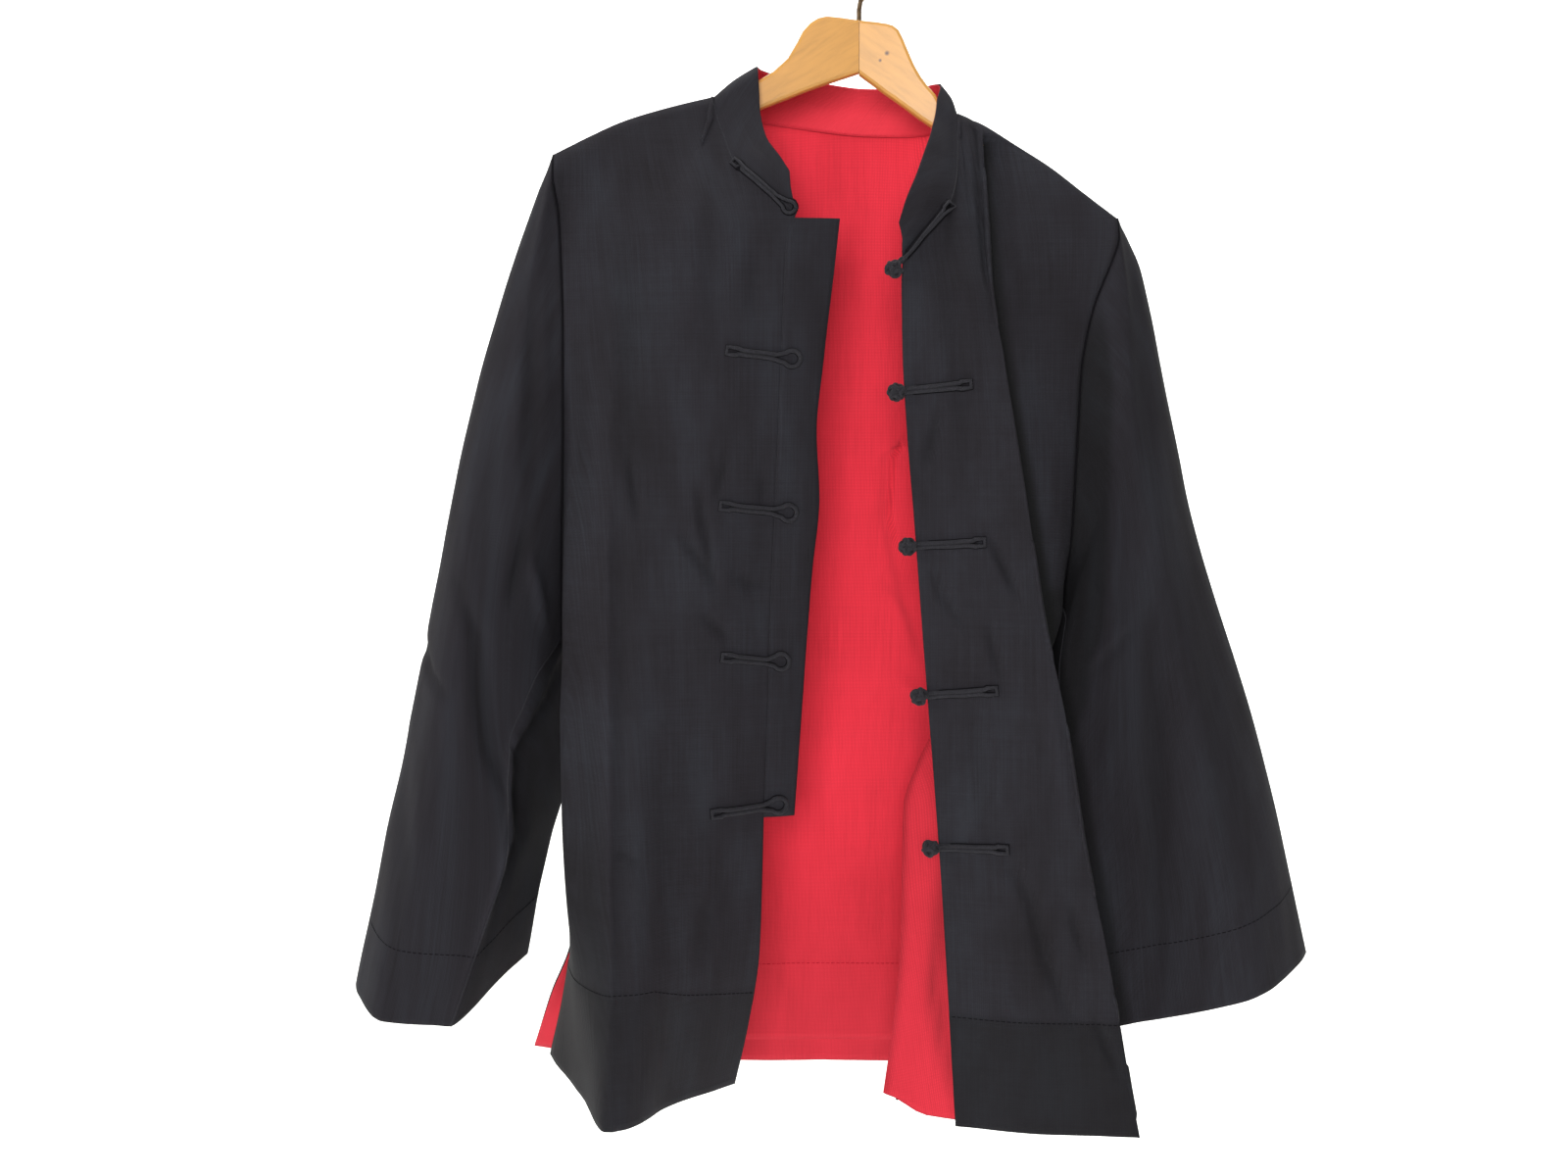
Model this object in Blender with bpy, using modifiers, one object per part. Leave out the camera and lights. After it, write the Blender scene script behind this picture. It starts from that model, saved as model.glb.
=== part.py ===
"""Reversible mandarin collar jacket hanging on a wooden hanger.

Metres, +Z up. The wearer's front faces -Y and the wearer's left is +X. The origin is the point where the
hanger's hook rests on its rail. Every cloth piece is a thin wall worked out from sections across the garment.
"""

import math
from collections import namedtuple

import bmesh
import bpy
import numpy as np
from mathutils import Vector
from mathutils.bvhtree import BVHTree

# Cloth
WALL = 0.0016
LINING_WALL = 0.0010
SEAM_GAP = 0.0003
LINING_INSET = WALL + 2 * SEAM_GAP
LINING_COLUMNS = slice(2, 12)

# Hanger
ARM_THICKNESS = 0.010
ARM_ROUND = 0.0025
WIRE = 0.0036
HOOK_RADIUS = 0.024
HOOK_CENTRE_Z = WIRE / 2 - HOOK_RADIUS
WOOD_TOP_Z = -0.0705

# Closures
CORD = 0.0038
RUN_APART = 0.0052
EYE_RADIUS = 0.0062
EYE_OPEN = 2.45
EYE_STEPS = 10
KNOT_RADIUS = 0.0066
KNOT_PAST_EDGE = 0.0062
KNOT_IN_FRONT = 0.0032
KNOT_TO_TAIL = 0.0008
CORD_STEP = 0.008
BESIDE_EDGE_Y = -0.055
LOOP_LIFT_AT_COLLAR = 0.0004
TAIL_LIFT_AT_COLLAR = 0.0022

COLOURS = {
    "dark_cloth": ((0.027, 0.029, 0.036), 0.85, 0.0),
    "red_cloth": ((0.73, 0.035, 0.055), 0.80, 0.0),
    "beech": ((0.70, 0.42, 0.17), 0.45, 0.0),
    "steel": ((0.45, 0.42, 0.38), 0.35, 1.0),
}

# Each section is a cut across the garment: its height at x = 0, its rise per metre of x, and where the cloth
# passes in plan, as (x, y) at each named line.
FrontRight = namedtuple("FrontRight", "z rise edge chest crease fold side")
FRONT_RIGHT = [
    FrontRight(-0.235, -0.105, (-0.052, -0.056), (-0.105, -0.056), (-0.172, -0.046),
               (-0.199, -0.040), (-0.216, -0.036)),
    FrontRight(-0.310, -0.105, (-0.056, -0.055), (-0.115, -0.060), (-0.175, -0.055),
               (-0.201, -0.042), (-0.214, -0.035)),
    FrontRight(-0.430, -0.105, (-0.061, -0.052), (-0.118, -0.063), (-0.179, -0.064),
               (-0.209, -0.042), (-0.217, -0.024)),
    FrontRight(-0.511, 0.069, (-0.065, -0.050), (-0.122, -0.066), (-0.181, -0.070),
               (-0.217, -0.036), (-0.222, 0.000)),
    FrontRight(-0.580, 0.000, (-0.067, -0.048), (-0.124, -0.067), (-0.181, -0.077),
               (-0.220, -0.038), (-0.221, 0.008)),
    FrontRight(-0.655, 0.000, (-0.070, -0.045), (-0.126, -0.068), (-0.180, -0.085),
               (-0.219, -0.040), (-0.219, 0.015)),
    FrontRight(-0.758, 0.000, (-0.073, -0.035), (-0.125, -0.065), (-0.177, -0.095),
               (-0.214, -0.036), (-0.221, 0.020)),
    FrontRight(-0.868, 0.000, (-0.093, -0.011), (-0.138, -0.052), (-0.183, -0.100),
               (-0.208, -0.036), (-0.243, 0.049)),
]
FRONT_RIGHT_LINES = (0, 4, 9, 10, 11)

FrontLeft = namedtuple("FrontLeft", "z rise edge chest fold tuck inner side")
FRONT_LEFT = [
    FrontLeft(-0.262, -0.105, (0.028, -0.061), (0.060, -0.064), (0.098, -0.058), (0.093, -0.047),
              (0.132, -0.042), (0.168, -0.036)),
    FrontLeft(-0.310, -0.105, (0.029, -0.062), (0.065, -0.068), (0.104, -0.067), (0.096, -0.052),
              (0.130, -0.044), (0.160, -0.035)),
    FrontLeft(-0.430, -0.080, (0.038, -0.066), (0.078, -0.074), (0.124, -0.078), (0.114, -0.061),
              (0.138, -0.048), (0.157, -0.026)),
    FrontLeft(-0.511, 0.069, (0.044, -0.069), (0.086, -0.079), (0.134, -0.083), (0.123, -0.065),
              (0.147, -0.040), (0.155, 0.003)),
    FrontLeft(-0.580, 0.000, (0.050, -0.071), (0.096, -0.081), (0.149, -0.086), (0.138, -0.069),
              (0.110, -0.036), (0.072, -0.003)),
    FrontLeft(-0.655, 0.000, (0.056, -0.073), (0.105, -0.085), (0.162, -0.090), (0.156, -0.077),
              (0.100, -0.040), (0.038, -0.003)),
    FrontLeft(-0.758, 0.000, (0.063, -0.078), (0.118, -0.092), (0.180, -0.096), (0.174, -0.084),
              (0.105, -0.046), (0.036, -0.010)),
    FrontLeft(-0.871, 0.000, (0.070, -0.083), (0.132, -0.098), (0.200, -0.103), (0.193, -0.091),
              (0.113, -0.060), (0.022, -0.024)),
]
FRONT_LEFT_LINES = (0, 4, 8, 9, 10.5, 12)

Back = namedtuple("Back", "z rise side_right fold_right right centre left fold_left gusset side_left")
BACK = [
    Back(-0.235, -0.105, (-0.216, 0.000), (-0.195, 0.008), (-0.115, 0.026), (0.005, 0.042), (0.080, 0.028),
         (0.125, 0.014), (0.150, 0.006), (0.172, -0.002)),
    Back(-0.310, -0.105, (-0.214, 0.015), (-0.195, 0.026), (-0.115, 0.037), (0.005, 0.044), (0.085, 0.037),
         (0.128, 0.028), (0.148, 0.020), (0.160, 0.012)),
    Back(-0.430, -0.080, (-0.217, 0.012), (-0.198, 0.032), (-0.113, 0.043), (0.006, 0.047), (0.090, 0.043),
         (0.133, 0.034), (0.148, 0.024), (0.157, 0.012)),
    Back(-0.511, 0.069, (-0.222, 0.000), (-0.207, 0.033), (-0.112, 0.047), (0.007, 0.051), (0.092, 0.047),
         (0.140, 0.038), (0.152, 0.022), (0.155, 0.003)),
    Back(-0.580, 0.000, (-0.221, 0.008), (-0.207, 0.036), (-0.110, 0.049), (0.008, 0.053), (0.095, 0.050),
         (0.146, 0.044), (0.112, 0.026), (0.072, -0.003)),
    Back(-0.655, 0.000, (-0.219, 0.015), (-0.207, 0.042), (-0.108, 0.053), (0.009, 0.057), (0.098, 0.055),
         (0.152, 0.050), (0.106, 0.028), (0.038, -0.003)),
    Back(-0.758, 0.000, (-0.221, 0.020), (-0.212, 0.052), (-0.105, 0.058), (0.010, 0.061), (0.105, 0.060),
         (0.165, 0.055), (0.112, 0.024), (0.036, -0.010)),
    Back(-0.880, 0.000, (-0.264, 0.100), (-0.226, 0.086), (-0.105, 0.068), (0.012, 0.066), (0.112, 0.065),
         (0.178, 0.060), (0.115, 0.020), (0.031, -0.016)),
]
BACK_LINES = (0, 1.5, 4, 7.5, 11, 12.5, 14, 15)

# The neck seam and the shoulder line, from the front edge out to the hanger's tip, as (x, y, z).
NECK_RIGHT = [(-0.046, -0.055, -0.215), (-0.062, -0.053, -0.202), (-0.079, -0.048, -0.188),
              (-0.091, -0.040, -0.176),
              (-0.098, -0.032, -0.158), (-0.103, -0.0275, -0.144), (-0.1055, -0.0245, -0.1335)]
SHOULDER_RIGHT = [(-0.106, -0.0147, -0.128), (-0.126, -0.0175, -0.133), (-0.168, -0.0234, -0.146),
                  (-0.196, -0.0272, -0.159), (-0.219, -0.0304, -0.171)]
NECK_LEFT = [(0.029, -0.060, -0.248), (0.042, -0.058, -0.233), (0.053, -0.055, -0.219),
             (0.063, -0.050, -0.206),
             (0.069, -0.038, -0.183), (0.0705, -0.026, -0.157), (0.071, -0.0222, -0.146)]
SHOULDER_LEFT = [(0.071, -0.0117, -0.139), (0.088, -0.0145, -0.147), (0.113, -0.0186, -0.163),
                 (0.137, -0.0226, -0.179), (0.161, -0.0266, -0.198), (0.184, -0.0304, -0.216)]
NECK_BACK = [(-0.099, -0.003, -0.1305), (-0.084, 0.022, -0.136), (-0.055, 0.036, -0.139),
             (0.004, 0.045, -0.145),
             (0.040, 0.041, -0.146), (0.060, 0.026, -0.146), (0.0667, 0.003, -0.1417)]

# Over the hanger's arm each shoulder turns down in three steps: (away from the shoulder line, down).
SHOULDER_TURN = [(0.0042, 0.0001), (0.0088, 0.0042), (0.0122, 0.0160)]
NECK_TURN = (0.05, 0.16, 0.36)

# The collar's free edge, above each point of the neck seam.
COLLAR_TOP = [(-0.051, -0.053, -0.185), (-0.057, -0.049, -0.175), (-0.062, -0.045, -0.168),
              (-0.067, -0.040, -0.160),
              (-0.072, -0.0285, -0.138), (-0.0725, -0.0240, -0.124), (-0.0735, -0.0205, -0.111),
              (-0.0745, -0.008, -0.104),
              (-0.073, 0.006, -0.103), (-0.064, 0.024, -0.103), (-0.046, 0.042, -0.103),
               (0.004, 0.060, -0.108),
              (0.036, 0.054, -0.109), (0.053, 0.034, -0.110), (0.060, 0.010, -0.113),
              (0.060, -0.006, -0.117),
              (0.056, -0.019, -0.129), (0.054, -0.024, -0.142), (0.051, -0.034, -0.154),
               (0.046, -0.044, -0.168),
              (0.039, -0.055, -0.187), (0.031, -0.061, -0.206), (0.026, -0.063, -0.222)]
COLLAR_BULGE = 0.0022

# Where two walls meet at an angle their edges are drawn back, so that the inner corners stay apart.
SIDE_SEAM_BACK = 0.0007
SIDE_SEAM_FRONT = 0.0002
SHOULDER_SEAM = 0.0004
ARMHOLE_SEAM = 0.0016
COLLAR_SEAM = 0.0018
COLLAR_LINING_SEAM = 0.0020

# Strip under the loops: outer edge, from neck to waist.
UNDERLAP_OUTER = [(-0.015, -0.050, -0.218), (-0.019, -0.050, -0.255), (-0.026, -0.049, -0.315),
                  (-0.031, -0.047, -0.368),
                  (-0.029, -0.046, -0.417), (-0.034, -0.045, -0.470), (-0.038, -0.043, -0.523),
                   (-0.042, -0.042, -0.580),
                  (-0.047, -0.040, -0.651)]

# Sleeve rings below the armhole, each as (x, y, z) at the outer fold, the front, the underarm seam, the inner
# edge and the back.
Ring = namedtuple("Ring", "outer front seam inner back")
SLEEVE_RIGHT = [
    Ring((-0.250, -0.018, -0.239), (-0.246, -0.048, -0.370), (-0.236, -0.028, -0.545),
         (-0.2205, 0.020, -0.552), (-0.244, 0.016, -0.370)),
    Ring((-0.280, -0.012, -0.332), (-0.270, -0.050, -0.440), (-0.248, -0.036, -0.572),
         (-0.2195, 0.030, -0.590), (-0.264, 0.022, -0.440)),
    Ring((-0.308, -0.008, -0.445), (-0.290, -0.052, -0.520), (-0.259, -0.040, -0.605),
         (-0.2200, 0.032, -0.630), (-0.280, 0.026, -0.520)),
    Ring((-0.332, -0.006, -0.560), (-0.305, -0.054, -0.610), (-0.258, -0.042, -0.665),
         (-0.2310, 0.026, -0.682), (-0.292, 0.030, -0.610)),
    Ring((-0.358, -0.004, -0.670), (-0.328, -0.054, -0.702), (-0.276, -0.045, -0.730),
         (-0.246, 0.014, -0.728), (-0.305, 0.034, -0.700)),
    Ring((-0.384, -0.003, -0.792), (-0.352, -0.056, -0.803), (-0.302, -0.052, -0.808),
         (-0.257, 0.028, -0.778), (-0.318, 0.038, -0.785)),
]
SLEEVE_LEFT = [
    Ring((0.204, -0.018, -0.246), (0.190, -0.047, -0.360), (0.159, -0.018, -0.505),
         (0.1565, 0.006, -0.515), (0.190, 0.016, -0.360)),
    Ring((0.223, -0.013, -0.321), (0.203, -0.050, -0.430), (0.150, -0.022, -0.547),
         (0.141, 0.004, -0.558), (0.204, 0.022, -0.430)),
    Ring((0.249, -0.009, -0.427), (0.221, -0.052, -0.520), (0.151, -0.024, -0.612),
         (0.146, 0.003, -0.620), (0.222, 0.026, -0.520)),
    Ring((0.285, -0.006, -0.540), (0.247, -0.054, -0.605), (0.162, -0.027, -0.680),
         (0.158, 0.003, -0.686), (0.245, 0.030, -0.605)),
    Ring((0.318, -0.005, -0.650), (0.270, -0.055, -0.700), (0.177, -0.030, -0.748),
         (0.176, 0.004, -0.745), (0.268, 0.032, -0.690)),
    Ring((0.346, -0.004, -0.767), (0.286, -0.056, -0.787), (0.193, -0.036, -0.814),
         (0.192, 0.004, -0.806), (0.290, 0.034, -0.775)),
]
OUTER_FOLD_SHARE = 0.10
OUTER_FOLD_DEPTH = 0.006

# Fine rows between one section and the next, from the shoulder line down, and the sections at armpit and vent.
ROW_STEPS = (1, 1, 1, 1, 2, 2, 2, 2, 2, 2, 2)
ARMPIT_SECTION = 7
VENT_SECTION = 10

# Closures on (x, z): the tail's end, where the cords part, and the middle of the eye or knot.
Closure = namedtuple("Closure", "tail neck eye")
LOOPS = [
    Closure((-0.0905, -0.1765), (-0.0600, -0.2035), (-0.0510, -0.2105)),
    Closure((-0.095, -0.311), (-0.0600, -0.3155), (-0.0490, -0.3165)),
    Closure((-0.100, -0.421), (-0.0620, -0.4255), (-0.0515, -0.4265)),
    Closure((-0.099, -0.530), (-0.0670, -0.5345), (-0.0570, -0.5350)),
    Closure((-0.107, -0.645), (-0.0700, -0.6430), (-0.0590, -0.6420)),
]

# Knots: the tail's end on (x, z) and the knot's height at the front edge.
Knot = namedtuple("Knot", "tail height")
KNOTS = [
    Knot((0.062, -0.2085), -0.2545),
    Knot((0.077, -0.335), -0.3405),
    Knot((0.087, -0.446), -0.4495),
    Knot((0.096, -0.551), -0.5565),
    Knot((0.105, -0.665), -0.6665),
]

# Hanger arms at each station: (x, top, bottom).
ARM_RIGHT = [(-0.00015, -0.0705, -0.1080), (-0.014, -0.0690, -0.1128), (-0.024, -0.0684, -0.1163),
             (-0.0301, -0.0700, -0.1186), (-0.0356, -0.0735, -0.1207), (-0.0411, -0.0795, -0.1229),
             (-0.045, -0.0872, -0.1245), (-0.0521, -0.0991, -0.1275), (-0.0623, -0.1085, -0.1317),
             (-0.072, -0.1145, -0.1357)]
ARM_LEFT = [(0.00015, -0.0705, -0.1090), (0.012, -0.0722, -0.1180), (0.020, -0.0737, -0.1243),
            (0.0245, -0.0752, -0.1272), (0.0285, -0.0785, -0.1303), (0.0318, -0.0850, -0.1326),
            (0.036, -0.0950, -0.1358), (0.040, -0.1040, -0.1390), (0.0445, -0.1118, -0.1423),
            (0.049, -0.1180, -0.1455), (0.055, -0.1248, -0.1495), (0.0605, -0.1350, -0.1535)]
ARM_PLAN_RIGHT = 0.1388
ARM_PLAN_LEFT = 0.1652
ARM_HEIGHT_NECK = 0.021
ARM_HEIGHT_TIP = 0.017
ARM_SEAT_NECK = 0.0060
ARM_TIP_SHORT = 0.012

# Hook: the stem's steps up from the wood as (x, rise), and the bow's start and turn in degrees.
STEM = [(0.0, SEAM_GAP), (0.0, 0.008), (0.001, 0.014)]
BOW_START = -62
BOW_TURN = 262
BOW_STEPS = 22


def clear_scene():
    """Starts from an empty scene."""
    for item in list(bpy.data.objects):
        bpy.data.objects.remove(item, do_unlink=True)


def new_collection(name):
    """Makes the collection that holds the garment."""
    collection = bpy.data.collections.new(name)
    bpy.context.scene.collection.children.link(collection)
    return collection


def make_materials():
    """One Principled material for each finish."""
    materials = {}
    for name, (colour, roughness, metallic) in COLOURS.items():
        material = bpy.data.materials.new(name)
        material.use_nodes = True
        shader = material.node_tree.nodes["Principled BSDF"]
        shader.inputs["Base Color"].default_value = (*colour, 1.0)
        shader.inputs["Roughness"].default_value = roughness
        shader.inputs["Metallic"].default_value = metallic
        material.diffuse_color = (*colour, 1.0)
        materials[name] = material
    return materials


def smooth(points, stations, samples):
    """Reads a curve through the points at the samples, without swinging past them."""
    points = np.asarray(points, float)
    stations = np.asarray(stations, float)
    samples = np.asarray(samples, float)
    spread = (slice(None),) + (None,) * (points.ndim - 1)
    step = np.diff(stations)[spread]
    secant = np.diff(points, axis=0) / step
    before, after = secant[:-1], secant[1:]
    same_way = before * after > 0
    total = np.where(same_way, before + after, 1.0)
    inner = np.where(same_way, 2.0 * before * after / total, 0.0)
    slope = np.concatenate([secant[:1], inner, secant[-1:]])
    cell = np.clip(np.searchsorted(stations, samples, side="right") - 1, 0, len(stations) - 2)
    width = step[cell]
    t = ((samples - stations[cell]) / (stations[cell + 1] - stations[cell]))[spread]
    start = (1 + 2 * t) * (1 - t) ** 2 * points[cell] + t * (1 - t) ** 2 * width * slope[cell]
    end = t * t * (3 - 2 * t) * points[cell + 1] + t * t * (t - 1) * width * slope[cell + 1]
    return start + end


def refined(grid, row_steps):
    """Adds fine rows between the sections of a grid."""
    stations = np.concatenate([[0], np.cumsum(np.linalg.norm(np.diff(grid, axis=0), axis=2).mean(axis=1))])
    samples = [stations[0]]
    for index, steps in enumerate(row_steps):
        for part in range(1, steps + 1):
            samples.append(stations[index] + (stations[index + 1] - stations[index]) * part / steps)
    return smooth(grid, stations, samples)


def panel_grid(top_line, on_shoulder, sections, lines, forward):
    """Rows from the neck and shoulder line down through each section, columns from one side to the other."""
    top = np.array(top_line)
    columns = np.arange(len(top))
    rows = []
    for section in sections:
        plan = smooth(section[2:], lines, columns)
        height = section.z + section.rise * plan[:, 0]
        rows.append(np.column_stack([plan, height]))
    turned = [top]
    for (away, down), share in zip(SHOULDER_TURN, NECK_TURN):
        over = top + np.array([0, forward * away, -down])
        below = top + (rows[0] - top) * share
        turned.append(np.where(on_shoulder[:, None], over, below))
    return refined(np.array(turned + rows), ROW_STEPS)


def grid_normals(grid):
    """Unit normals of a grid of points, along columns crossed with rows."""
    along = np.gradient(grid, axis=1)
    down = np.gradient(grid, axis=0)
    normals = np.cross(along, down)
    return normals / np.linalg.norm(normals, axis=2, keepdims=True)


def moved_in(grid, outward, distance):
    """The same surface, moved inwards from its outer side."""
    normals = grid_normals(grid)
    if np.dot(normals[len(grid) // 2, 0], outward) < 0:
        normals = -normals
    return grid - normals * distance


def drawn_in(edge, neighbour, distance):
    """An edge's points, moved towards the next row or column."""
    along = neighbour - edge
    return edge + along / np.linalg.norm(along, axis=1, keepdims=True) * distance


def sheet(name, grid, outward, material, collection, wall=WALL, closed=False):
    """A wall of cloth whose outer side is the grid."""
    rows, columns = grid.shape[:2]
    mesh = bpy.data.meshes.new(name)
    bm = bmesh.new()
    bmesh.ops.create_grid(bm, x_segments=columns - 1, y_segments=rows - 1, size=1.0)
    for vert in bm.verts:
        column = round((vert.co.x + 1) / 2 * (columns - 1))
        row = round((vert.co.y + 1) / 2 * (rows - 1))
        vert.co = grid[row, column]
    if closed:
        bmesh.ops.remove_doubles(bm, verts=bm.verts, dist=1e-6)
    bm.normal_update()
    middle = grid[rows // 2, :2].mean(axis=0)
    near = min(bm.faces, key=lambda face: (face.calc_center_median() - Vector(middle)).length)
    if near.normal.dot(Vector(outward)) < 0:
        bmesh.ops.reverse_faces(bm, faces=bm.faces)
    bm.to_mesh(mesh)
    bm.free()
    item = bpy.data.objects.new(name, mesh)
    collection.objects.link(item)
    item.data.materials.append(material)
    item.data.shade_smooth()
    solid = item.modifiers.new("Wall", "SOLIDIFY")
    solid.thickness = wall
    solid.offset = -1.0
    solid.use_even_offset = True
    return item


def neck_seam():
    """The whole neck seam, from the wearer's right front edge round the back to the left front edge."""
    right = NECK_RIGHT + [SHOULDER_RIGHT[0]]
    left = [SHOULDER_LEFT[0]] + NECK_LEFT[::-1]
    return np.array(right + NECK_BACK + left)


def body_grids():
    """The outer surfaces of the three body panels."""
    right_top = NECK_RIGHT + SHOULDER_RIGHT
    on_shoulder = np.arange(len(right_top)) >= len(NECK_RIGHT)
    front_right = panel_grid(right_top, on_shoulder, FRONT_RIGHT, FRONT_RIGHT_LINES, -1)

    left_top = NECK_LEFT + SHOULDER_LEFT
    on_shoulder = np.arange(len(left_top)) >= len(NECK_LEFT)
    front_left = panel_grid(left_top, on_shoulder, FRONT_LEFT, FRONT_LEFT_LINES, -1)

    back_top = SHOULDER_RIGHT[::-1][:-1] + [SHOULDER_RIGHT[0]] + NECK_BACK[1:-1] + SHOULDER_LEFT
    count = len(back_top)
    on_shoulder = (np.arange(count) < len(SHOULDER_RIGHT)) | (np.arange(count) >= count - len(SHOULDER_LEFT))
    back = panel_grid(back_top, on_shoulder, BACK, BACK_LINES, 1)
    return front_right, front_left, back


def split_at_seams(front_right, front_left, back):
    """Joins front and back along the side seams, armpit to vent, then parts their shared lines by the gap."""
    seam = slice(sum(ROW_STEPS[:ARMPIT_SECTION]), sum(ROW_STEPS[:VENT_SECTION]) + 1)
    back[seam, 0] = front_right[seam, -1]
    back[seam, -1] = front_left[seam, -1]
    back[:, 0] = drawn_in(back[:, 0], back[:, 1], SIDE_SEAM_BACK)
    back[:, -1] = drawn_in(back[:, -1], back[:, -2], SIDE_SEAM_BACK)
    for front in (front_right, front_left):
        front[:, -1] = drawn_in(front[:, -1], front[:, -2], SIDE_SEAM_FRONT)
    for panel in (front_right, front_left, back):
        panel[0] = drawn_in(panel[0], panel[1], SHOULDER_SEAM)
    front_right[:, :, 1] -= SEAM_GAP / 2
    front_left[:, :, 1] -= SEAM_GAP / 2
    back[:, :, 1] += SEAM_GAP / 2
    return front_right, front_left, back


def sleeve_grid(front, front_column, back, back_column, rings, side):
    """Rings from the armhole to the cuff. The first follows the body panels' own armhole lines."""
    pit_row = sum(ROW_STEPS[:ARMPIT_SECTION])
    armhole_front = front[: pit_row + 1, front_column]
    armhole_back = back[: pit_row + 1, back_column][::-1]
    top = (armhole_front[0] + armhole_back[-1]) / 2
    pit = (armhole_front[-1] + armhole_back[0]) / 2
    first = np.concatenate([[top], armhole_front[1:-1], [pit], armhole_back[1:-1], [top]])
    first = first + np.array([side * ARMHOLE_SEAM, 0, 0])
    rows = [first]
    front_samples = np.linspace(0, 1, pit_row + 1)
    for ring in rings:
        outer, front_mid, seam, inner, back_mid = (np.array(point) for point in ring)
        front_lip = outer + (front_mid - outer) * OUTER_FOLD_SHARE - np.array([0, OUTER_FOLD_DEPTH, 0])
        back_lip = outer + (back_mid - outer) * OUTER_FOLD_SHARE + np.array([0, OUTER_FOLD_DEPTH, 0])
        half = smooth([outer, front_lip, front_mid, seam], (0, 0.1, 0.5, 1), front_samples)
        rest = smooth([seam, inner, back_mid, back_lip, outer], (0, 0.2, 0.6, 0.9, 1), front_samples)
        rows.append(np.concatenate([half, rest[1:]]))
    return refined(np.array(rows), (2,) * len(rings))


def collar_grid():
    """The collar's outer surface, from the neck seam up to its free edge."""
    seam = neck_seam()
    top = np.array(COLLAR_TOP)
    rise = (top - seam) / np.linalg.norm(top - seam, axis=1, keepdims=True)
    bottom = seam + rise * COLLAR_SEAM
    middle = (bottom + top) / 2
    out = middle - np.array([middle[:, 0].mean(), 0.0, 0.0])
    out[:, 2] = COLLAR_BULGE
    middle = middle + out / np.linalg.norm(out, axis=1, keepdims=True) * COLLAR_BULGE
    return refined(np.array([bottom, middle, top]), (2, 2))


def underlap_grid(front_right):
    """The strip sewn to the wearer's right front edge, from the neck to the waist."""
    outer = np.array(UNDERLAP_OUTER)
    edge = front_right[:, 0]
    heights = -edge[:, 2]
    wanted = -outer[:, 2]
    wanted[0] = max(wanted[0], heights[0])
    seam = np.column_stack([np.interp(wanted, heights, edge[:, axis]) for axis in range(3)])
    seam[:, 0] += SEAM_GAP
    middle = (seam + outer) / 2 - np.array([0, 0.001, 0])
    return np.stack([seam, middle, outer], axis=1)


def surface_of(*items):
    """A search tree over the evaluated outer faces of the given pieces."""
    verts, faces = [], []
    graph = bpy.context.evaluated_depsgraph_get()
    for item in items:
        mesh = item.evaluated_get(graph).to_mesh()
        base = len(verts)
        verts += [vert.co.copy() for vert in mesh.vertices]
        faces += [[base + index for index in face.vertices] for face in mesh.polygons]
        item.evaluated_get(graph).to_mesh_clear()
    return BVHTree.FromPolygons(verts, faces)


def on_surface(tree, x, z, lift):
    """The point in front of the cloth at (x, z), lifted off it. Past an edge it stays level with the edge."""
    spot, normal, _, _ = tree.ray_cast(Vector((x, -1.0, z)), Vector((0, 1, 0)))
    if spot is None:
        spot, normal, _, _ = tree.find_nearest(Vector((x, BESIDE_EDGE_Y, z)))
        normal = Vector((0, -1, 0))
        spot = Vector((x, spot.y, z))
    if normal.y > 0:
        normal = -normal
    return spot + normal * lift


def arc_points(centre, start, turn, radius, count):
    """Points along an arc in the plane of the cloth."""
    return [(centre[0] + radius * math.cos(start + turn * index / count),
             centre[1] + radius * math.sin(start + turn * index / count)) for index in range(count + 1)]


def run(start, end):
    """Evenly spaced points from start to end, without the end."""
    length = math.dist(start, end)
    count = max(2, round(length / CORD_STEP))
    return [(start[0] + (end[0] - start[0]) * i / count, start[1] + (end[1] - start[1]) * i / count)
            for i in range(count)]


def beside(point, heading, side):
    """The point moved half a cord pair to one side of the heading."""
    away = side * RUN_APART / 2
    return point[0] - math.sin(heading) * away, point[1] + math.cos(heading) * away


def loop_route(closure):
    """Out along one cord, round the eye and back along the other."""
    heading = math.atan2(closure.neck[1] - closure.tail[1], closure.neck[0] - closure.tail[0])
    out = run(beside(closure.tail, heading, -1), beside(closure.neck, heading, -1))
    home = run(beside(closure.neck, heading, 1), beside(closure.tail, heading, 1))
    eye = arc_points(closure.eye, heading - EYE_OPEN, 2 * EYE_OPEN, EYE_RADIUS, EYE_STEPS)
    return out + eye + home + [beside(closure.tail, heading, 1)]


def tail_route(start, end):
    """From the knot to the tail's end and back, as one doubled cord."""
    heading = math.atan2(end[1] - start[1], end[0] - start[0])
    out = run(beside(start, heading, -1), beside(end, heading, -1))
    turn = arc_points(end, heading - math.pi / 2, math.pi, RUN_APART / 2, 4)
    home = run(beside(end, heading, 1), beside(start, heading, 1))
    return out + turn + home[1:] + [beside(start, heading, 1)]


def cord(name, route, tree, lift, material, collection):
    """A round cloth cord lying on the cloth along the route."""
    curve = bpy.data.curves.new(name, "CURVE")
    curve.dimensions = "3D"
    curve.bevel_depth = CORD / 2
    curve.bevel_resolution = 1
    curve.use_fill_caps = True
    spline = curve.splines.new("POLY")
    spline.points.add(len(route) - 1)
    for point, (x, z) in zip(spline.points, route):
        point.co = (*on_surface(tree, x, z, CORD / 2 + SEAM_GAP + lift), 1.0)
    item = bpy.data.objects.new(name, curve)
    collection.objects.link(item)
    curve.materials.append(material)
    return item


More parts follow.
